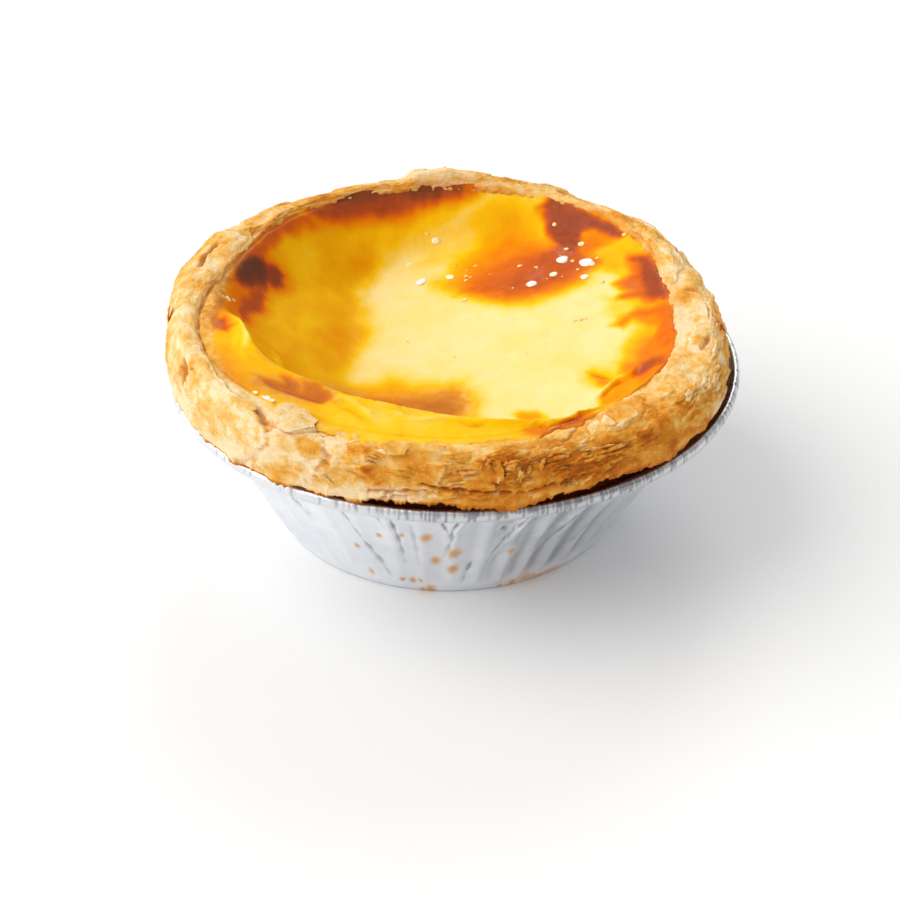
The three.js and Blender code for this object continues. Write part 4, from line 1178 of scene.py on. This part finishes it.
# Past the line where they meet, the skin lies on the dough.
down_inside = np.clip((crest_radius(b) - skin_r) / (crest_radius(b) - inner_edge(b)), 0.0, 1.0)
crest_rise = crest_height(b) - even_crest(b) + EDGE_DROP
dough_top = even_crest(b) - EDGE_DROP + crest_rise * np.sqrt(1.0 - down_inside ** 2)
on_dough = smooth(skin_r - inner_edge(b), -GAP, 0.1)
skin_z += (dough_top + 0.09 - skin_z) * on_dough
skin_z -= 0.4 * smooth(skin_r - skin_edge, -0.5, TUCKED_UNDER)
# Painted highlight on the raised folds, and browning with painted shade in the grooves.
crease_tone_and_light = np.zeros_like(skin_z)  # how much more the folds and grooves are baked
for line, width, lift, browner in WRINKLES:
    wavy_x, wavy_y = skin_x + 0.3 * np.sin(1.3 * skin_y), skin_y + 0.3 * np.sin(1.1 * skin_x)
    away = np.minimum.reduce([off_line(wavy_x - x0, wavy_y - y0, x1 - x0, y1 - y0)[0]
                              for (x0, y0), (x1, y1) in zip(line, line[1:])])
    ends = np.minimum(*(np.hypot(skin_x - x, skin_y - y) for x, y in (line[0], line[-1])))
    along_line = np.exp(-((away / width) ** 2)) * smooth(ends, -0.5, 1.5)
    skin_z += lift * along_line
    crease_tone_and_light += browner * along_line


def skin_field(size, octaves, seed):
    """Smooth random values on the skin, in lumps of a size."""
    start = Vector((seed * 2.9, seed * 4.3, seed * 1.7))
    flat = [noise.fractal(Vector((x / size, y / size, 0.0)) + start, 1.0, 2.0, octaves)
            for x, y in zip(skin_x.ravel(), skin_y.ravel())]
    return np.array(flat).reshape(skin_x.shape)


broad, middling, small = skin_field(8.0, 2, 1), skin_field(3.0, 2, 2), skin_field(1.1, 2, 3)
skin_z += 0.14 * broad + 0.05 * middling + 0.015 * small
inset = inner_edge(b) - skin_r
x_here, y_here = skin_x + 0.8 * middling + 0.14 * small, skin_y + 0.8 * broad + 0.14 * small

def patch(outline, start, end):
    """How much of a patch covers each point of the skin, from a depth inside its outline to another."""
    return smooth(depth_inside(x_here, y_here, np.array(outline, float)), start, end)


# The skin is pale where it is thick and flat, and a deep yellow on its slopes and by the pastry. On the
# slope at the left, which faces away from the window, the deeper yellow is partly painted shade.
foot_of_slope = np.interp(y_here, [-4, 2, 5.5, 8.6, 13, 17.5, 20.4, 23.4, 25.4, 28.6],
                          [-14.2, -12.7, -11.2, -10.5, -11, -12.2, -10.5, -8.4, -6.4, -3.3])
baked = 0.03 + 0.25 * smooth(foot_of_slope - x_here, -2.2, 2.4)
on_slope = smooth(baked, 0.1, 0.25)
by_dough = 0.27 - 0.08 * shelf_width(b) / SHELF_WIDTH - 0.08 * hump(b, 72, 24)
baked = np.maximum(baked, by_dough * (1.0 - smooth(inset, 2.0, 8.0)))
baked = np.maximum(baked, 0.2 * (1.0 - smooth(inset - shelf_width(b), 0.0, 3.5)) * (shelf_width(b) > 0.2))
baked += (0.03 + 0.04 * on_slope) * broad + (0.02 + 0.03 * on_slope) * middling
for patches, keep in ((PALER, np.minimum), (SCORCHES, np.maximum)):
    for how_baked, softness, outline in patches:
        covered = patch(outline, -0.8 * softness, 0.8 * softness)
        baked = keep(baked, baked + (how_baked - baked) * covered)
baked += crease_tone_and_light + 0.035 * small * smooth(baked, 0.35, 0.6)

# A thin film of dough crept in over the custard on the left.
film_width = 0.2 + 2.3 * hump(b, 188, 20) + 0.5 * middling + 0.3 * small
dough_film = 0.85 * (1.0 - smooth(inset, film_width - 0.5, film_width + 0.3)) * hump(b, 180, 42)
# A dull tan is painted over the bottom of the dip, as painted shade under the fold, and dried milk lies on a
# scorch at the front left.
DIP = [(-15, -6), (-7, -7), (-1.5, -7.6), (1.5, -8), (2.2, -11.4), (-0.4, -15.4), (-5, -18.6), (-10, -18.4),
       (-14, -14.6), (-16.2, -9.6)]
MILK_SCORCH = [(-24, -18.6), (-20, -19.4), (-14, -22.4), (-13.4, -24.2), (-19, -24.4), (-24, -21)]
dough_film = np.maximum(dough_film, 0.75 * patch(DIP, -2.6, 2.4))
dough_film = np.maximum(dough_film, 0.6 * patch(MILK_SCORCH, -0.8, 1.0))
# The skin thins out over the dough at its edge.
thin_edge = 1.0 - smooth(skin_edge - skin_r + 0.5 * small + 0.3 * middling, 0.0, 1.1)
dough_film = np.maximum(dough_film, 0.8 * thin_edge * (0.15 + 0.4 * hump(b, 270, 52)))

skin_rows = np.stack([skin_r, skin_z], axis=-1)
c = b[:, 0]
custard_edge_z = even_crest(c) - EDGE_DROP
hidden = ring_rows(
    CUSTARD_AROUND,
    (inner_edge(c) - 12.3, PASTRY_FLOOR + GAP),
    (inner_edge(c) - 9.9, PASTRY_FLOOR + 1.4), (inner_edge(c) - 5.0, custard_edge_z * 0.35 + 2.9),
    (inner_edge(c) - 1.9, custard_edge_z * 0.7 + 1.3), (inner_edge(c) - 0.9, custard_edge_z - 3.0),
)
custard_rows = np.concatenate([hidden, skin_rows], axis=1)
middle_height = float(custard_height(np.float64(0.0), np.float64(0.0)))
custard_mesh = turned_mesh("baked_custard", custard_rows, PASTRY_FLOOR + GAP, middle_height)
keep_values(custard_mesh, "baked", over_all(baked, hidden.shape[1], custard_rows.shape[1], 0.2))
keep_values(custard_mesh, "dough_film", over_all(dough_film, hidden.shape[1], custard_rows.shape[1]))

CUSTARD_COLOURS = [
    (0.0, (252, 226, 155)), (0.11, (253, 215, 100)), (0.2, (253, 198, 14)), (0.3, (242, 172, 4)),
    (0.42, (238, 140, 4)), (0.55, (224, 108, 10)), (0.68, (194, 84, 24)), (0.80, (158, 68, 28)),
    (0.90, (128, 60, 34)), (1.0, (102, 60, 38)),
]
skin, skin_tree, skin_shader = new_finish("baked_skin", {
    "Roughness": 0.42, "Specular IOR Level": 0.03, "Subsurface Weight": 0.12,
    "Subsurface Radius": (1.0, 0.6, 0.1), "Subsurface Scale": 0.0014, "Coat Roughness": 0.1,
})
baked_at, film_at = stored(skin_tree, "baked"), stored(skin_tree, "dough_film")
stipple, mist = grain_of(skin_tree, 1500.0, 3.0), grain_of(skin_tree, 380.0, 3.0)
froth = grain_of(skin_tree, 1000.0, 3.0)
# The edges of the scorches are a little stippled.
rough_edge = eased(skin_tree, baked_at, 0.3, 0.6, 0.02, 0.08)
shift = sum_of(skin_tree, "MULTIPLY", sum_of(skin_tree, "SUBTRACT", stipple, 0.5), rough_edge)
bake = sum_of(skin_tree, "ADD", baked_at, shift)
bake = sum_of(skin_tree, "ADD", bake, eased(skin_tree, mist, 0.3, 0.7, -0.02, 0.02))
egg = colour_ramp(skin_tree, bake, CUSTARD_COLOURS)
pale_film = colour_ramp(skin_tree, froth, WET_DOUGH_COLOURS)
brown_film_and_shade = colour_ramp(skin_tree, mist, [(0.35, (178, 102, 36)), (0.65, (200, 128, 52))])
# Over darker skin the film is brown; in the dip this brown is painted shade.
film_colour = blend(skin_tree, eased(skin_tree, baked_at, 0.26, 0.44), pale_film, brown_film_and_shade)
pores = bump(skin_tree, stipple, 0.05, 0.6)
feed(skin_tree, skin_shader, {
    "Base Color": blend(skin_tree, film_at, egg, film_colour),
    "Roughness": eased(skin_tree, mist, 0.35, 0.65, 0.36, 0.5),
    "Coat Weight": eased(skin_tree, baked_at, 0.45, 0.8, 0.0, 0.2),
    "Normal": bump(skin_tree, mist, 0.16, 0.5, pores),
})
custard_mesh.materials.append(skin)
custard = set_out("baked_custard", custard_mesh)
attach(custard, "root")
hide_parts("custard")


# ---- Blisters ----------------------------------------------------------------------------------
# Bubbles that rose through the hot skin and set, glazed with melted sugar. They are low domes,
# thickest on the scorched cloud at the back right, and their pale colour is a painted glint.

blister_numbers = {"Blister Height": 0.26, "Unevenness": 0.7}
blister_tree, blister_in = new_geometry_tree("sugar_blisters", blister_numbers, takes_shape=True)
dome = add(blister_tree, "GeometryNodeMeshIcoSphere", {"Radius": 1.0, "Subdivisions": 2})
blister_size = add(blister_tree, "GeometryNodeInputNamedAttribute", {"Name": "size"}, data_type="FLOAT")
size_here = blister_size.outputs["Attribute"]
blister_up = add(blister_tree, "GeometryNodeInputNamedAttribute", {"Name": "up"}, data_type="FLOAT_VECTOR")
up_here = {"Vector": blister_up.outputs["Attribute"]}
upright = add(blister_tree, "FunctionNodeAlignRotationToVector", up_here, axis="Z")
low_dome = add(blister_tree, "ShaderNodeCombineXYZ", {
    "X": size_here, "Y": size_here,
    "Z": sum_of(blister_tree, "MULTIPLY", size_here, blister_in["Blister Height"]),
})
set_down = add(blister_tree, "GeometryNodeInstanceOnPoints", {
    "Points": blister_in["Shape"], "Instance": dome.outputs["Mesh"], "Rotation": upright.outputs[0],
    "Scale": low_dome.outputs[0],
})
glazed = add(blister_tree, "GeometryNodeRealizeInstances", {"Geometry": set_down.outputs[0]})
# Each is pushed out of round, mostly sideways and the more the larger it is.
fine_noise = add(blister_tree, "ShaderNodeTexNoise", {"Scale": 1300.0, "Detail": 1.0})
off_middle = {0: fine_noise.outputs["Color"], 1: (0.5, 0.5, 0.5)}
off_middle = add(blister_tree, "ShaderNodeVectorMath", off_middle, operation="SUBTRACT")
sideways = {0: off_middle.outputs[0], 1: (1.0, 1.0, 0.3)}
sideways = add(blister_tree, "ShaderNodeVectorMath", sideways, operation="MULTIPLY")
nudge = add(blister_tree, "ShaderNodeVectorMath", {
    0: sideways.outputs[0], "Scale": sum_of(blister_tree, "MULTIPLY", size_here, blister_in["Unevenness"]),
}, operation="SCALE")
uneven = add(blister_tree, "GeometryNodeSetPosition", {
    "Geometry": glazed.outputs[0], "Offset": nudge.outputs[0],
})
rounded = add(blister_tree, "GeometryNodeSetShadeSmooth", {
    "Geometry": uneven.outputs[0], "Shade Smooth": True,
})
close_geometry_tree(blister_tree, rounded.outputs[0], blister_in["Finish"])

# Place on the custard and radius, in millimetres.
BLISTERS = [
    (14.3, 18.3, 0.85), (17.4, 16.7, 0.95), (18.1, 16.2, 0.5), (-4.5, 18.3, 0.8), (-0.6, 18.4, 0.6),
    (17.0, 13.3, 0.6), (13.0, 15.2, 0.55), (16.9, 21.4, 0.5), (-2.5, 26.4, 0.55), (-6.2, 23.5, 0.5),
    (10.1, 13.6, 0.7), (1.5, 18.1, 0.34), (1.3, 12.4, 0.42), (19.2, 11.6, 0.4), (22.5, 20.4, 0.34),
    (13.5, 26.2, 0.32), (10.8, 17.5, 0.28), (8.6, 18.5, 0.32), (2.8, 20.3, 0.28), (0.0, 21.0, 0.3),
    (-2.4, 18.1, 0.28), (14.9, 20.8, 0.34), (-3.7, 27.0, 0.3), (1.5, 17.0, 0.3), (2.1, 17.7, 0.24),
    (15.3, 3.6, 0.26), (16.0, 3.7, 0.34), (16.7, 3.8, 0.24), (-28.4, 1.5, 0.5), (-28.9, 0.9, 0.3),
    (-27.8, 2.2, 0.3), (-23.3, -22.6, 0.42), (-21.9, -23.8, 0.7), (-21.2, -24.2, 0.5),
    (-22.4, -23.4, 0.4), (-6.0, 5.0, 0.16), (9.0, -2.0, 0.14), (18.8, 17.4, 0.3), (15.6, 17.6, 0.3),
    (16.2, 15.4, 0.26),
]
# Twelve tiny ones on the cloud.
blister_draw = np.random.default_rng(21)
for i in range(12):
    x, y = blister_draw.uniform(0, 18), blister_draw.uniform(12, 24)
    BLISTERS.append((x, y, blister_draw.uniform(0.08, 0.17)))


def skin_level(x, y):
    """Height of the skin at a place."""
    angle, out_to = math.atan2(y, x), math.hypot(x, y)
    i = int(round(angle / math.tau * CUSTARD_AROUND)) % CUSTARD_AROUND
    return float(skin_z[i, int(np.argmin(np.abs(skin_r[i] - out_to)))])


blister_points, blister_ups = [], []
for x, y, size in BLISTERS:
    level = skin_level(x, y)
    way = 0.7  # the slope under it is taken over this far to each side
    slope_x = (skin_level(x + way, y) - skin_level(x - way, y)) / (2.0 * way)
    slope_y = (skin_level(x, y + way) - skin_level(x, y - way)) / (2.0 * way)
    lean_there = BASE_SHIFT * max(0.0, 1.0 - level / CUP_HEIGHT)
    blister_points.append(((x + lean_there) * MM, y * MM, (level + 0.04) * MM))
    blister_ups.append(Vector((-slope_x, -slope_y, 1.0)).normalized())
blister_bed = bpy.data.meshes.new("start_of_blisters")
blister_bed.from_pydata(blister_points, [], [])
keep_values(blister_bed, "size", [size * MM for x, y, size in BLISTERS])
stored_up = blister_bed.attributes.new("up", "FLOAT_VECTOR", "POINT")
stored_up.data.foreach_set("vector", np.array(blister_ups, np.float32).ravel())
glaze, glaze_tree, glaze_shader = new_finish("melted_sugar_painted_glint", {
    "Roughness": 0.12, "Specular IOR Level": 0.7, "Coat Weight": 0.4, "Coat Roughness": 0.05,
})
# Large blisters are painted near white, a painted glint, and small ones have the colour of caramel; the
# grain makes the painted glint uneven.
big_share = eased(glaze_tree, stored(glaze_tree, "size"), 0.0002, 0.0009)
uneven_glint = sum_of(glaze_tree, "MULTIPLY_ADD", grain_of(glaze_tree, 1300, 2), 0.8, -0.34)
glint_colour = colour_ramp(glaze_tree, sum_of(glaze_tree, "ADD", big_share, uneven_glint), [
    (0.0, (250, 184, 76)), (0.3, (254, 220, 132)), (0.6, (255, 244, 200)), (0.9, (255, 253, 246)),
])
feed(glaze_tree, glaze_shader, {"Base Color": glint_colour})
blisters = grow("sugar_blisters", blister_bed, blister_tree, blister_numbers, glaze)
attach(blisters, "root")


# ---- Floor, light and camera -------------------------------------------------------------------
# White paper to stand on. The light comes from a broad window at the left, a smaller lamp behind
# and a bright room.

floor_mesh = bpy.data.meshes.new("paper_floor")
floor_mesh.from_pydata([(-14, -14, 0), (14, -14, 0), (14, 14, 0), (-14, 14, 0)], [], [(0, 1, 2, 3)])
paper = new_finish("white_paper", {"Base Color": (0.93, 0.93, 0.93, 1.0), "Roughness": 0.9})[0]
floor_mesh.materials.append(paper)
floor_sheet = set_out("paper_floor", floor_mesh)


def shine(name, way, width, power, tint=(1.0, 1.0, 1.0)):
    """A soft light from far off, from a way seen at the tart, as wide as an angle in degrees."""
    lamp = bpy.data.lights.new(name, "SUN")
    lamp.angle, lamp.energy, lamp.color = math.radians(width), power, tint
    set_out(name, lamp).rotation_euler = (-Vector(way)).to_track_quat("-Z", "Y").to_euler()


shine("window", (-0.60, -0.04, 0.54), 62.0, 1.68, (1.0, 0.985, 0.95))
shine("lamp_behind", (0.08, 0.72, 0.54), 24.0, 0.5)

room = bpy.data.worlds.new("bright_room")
room.use_nodes = True
room_tree = room.node_tree
walls = room_tree.nodes["Background"]
walls.inputs["Color"].default_value = (1.0, 1.0, 1.0, 1.0)
# The side towards the window is brighter than the far one.
seen_way = add(room_tree, "ShaderNodeTexCoord").outputs["Generated"]
room_side = add(room_tree, "ShaderNodeMapRange", {
    "Value": add(room_tree, "ShaderNodeSeparateXYZ", {0: seen_way}).outputs["X"],
    "From Min": -1.0, "From Max": 1.0, "To Min": 0.95, "To Max": 0.42,
})
feed(room_tree, walls, {"Strength": room_side.outputs[0]})
bpy.context.scene.world = room
bpy.context.scene.view_settings.view_transform = "Standard"

lens = bpy.data.cameras.new("camera")
lens.lens, lens.sensor_width = 92.28, 36.0
lens.clip_start, lens.clip_end = 0.01, 10.0
camera = set_out("camera", lens)
camera.location = (-0.00059, -0.253467, 0.167393)
camera.rotation_euler = (math.radians(90.0 - 32.34), 0.0, 0.0)
bpy.context.scene.camera = camera
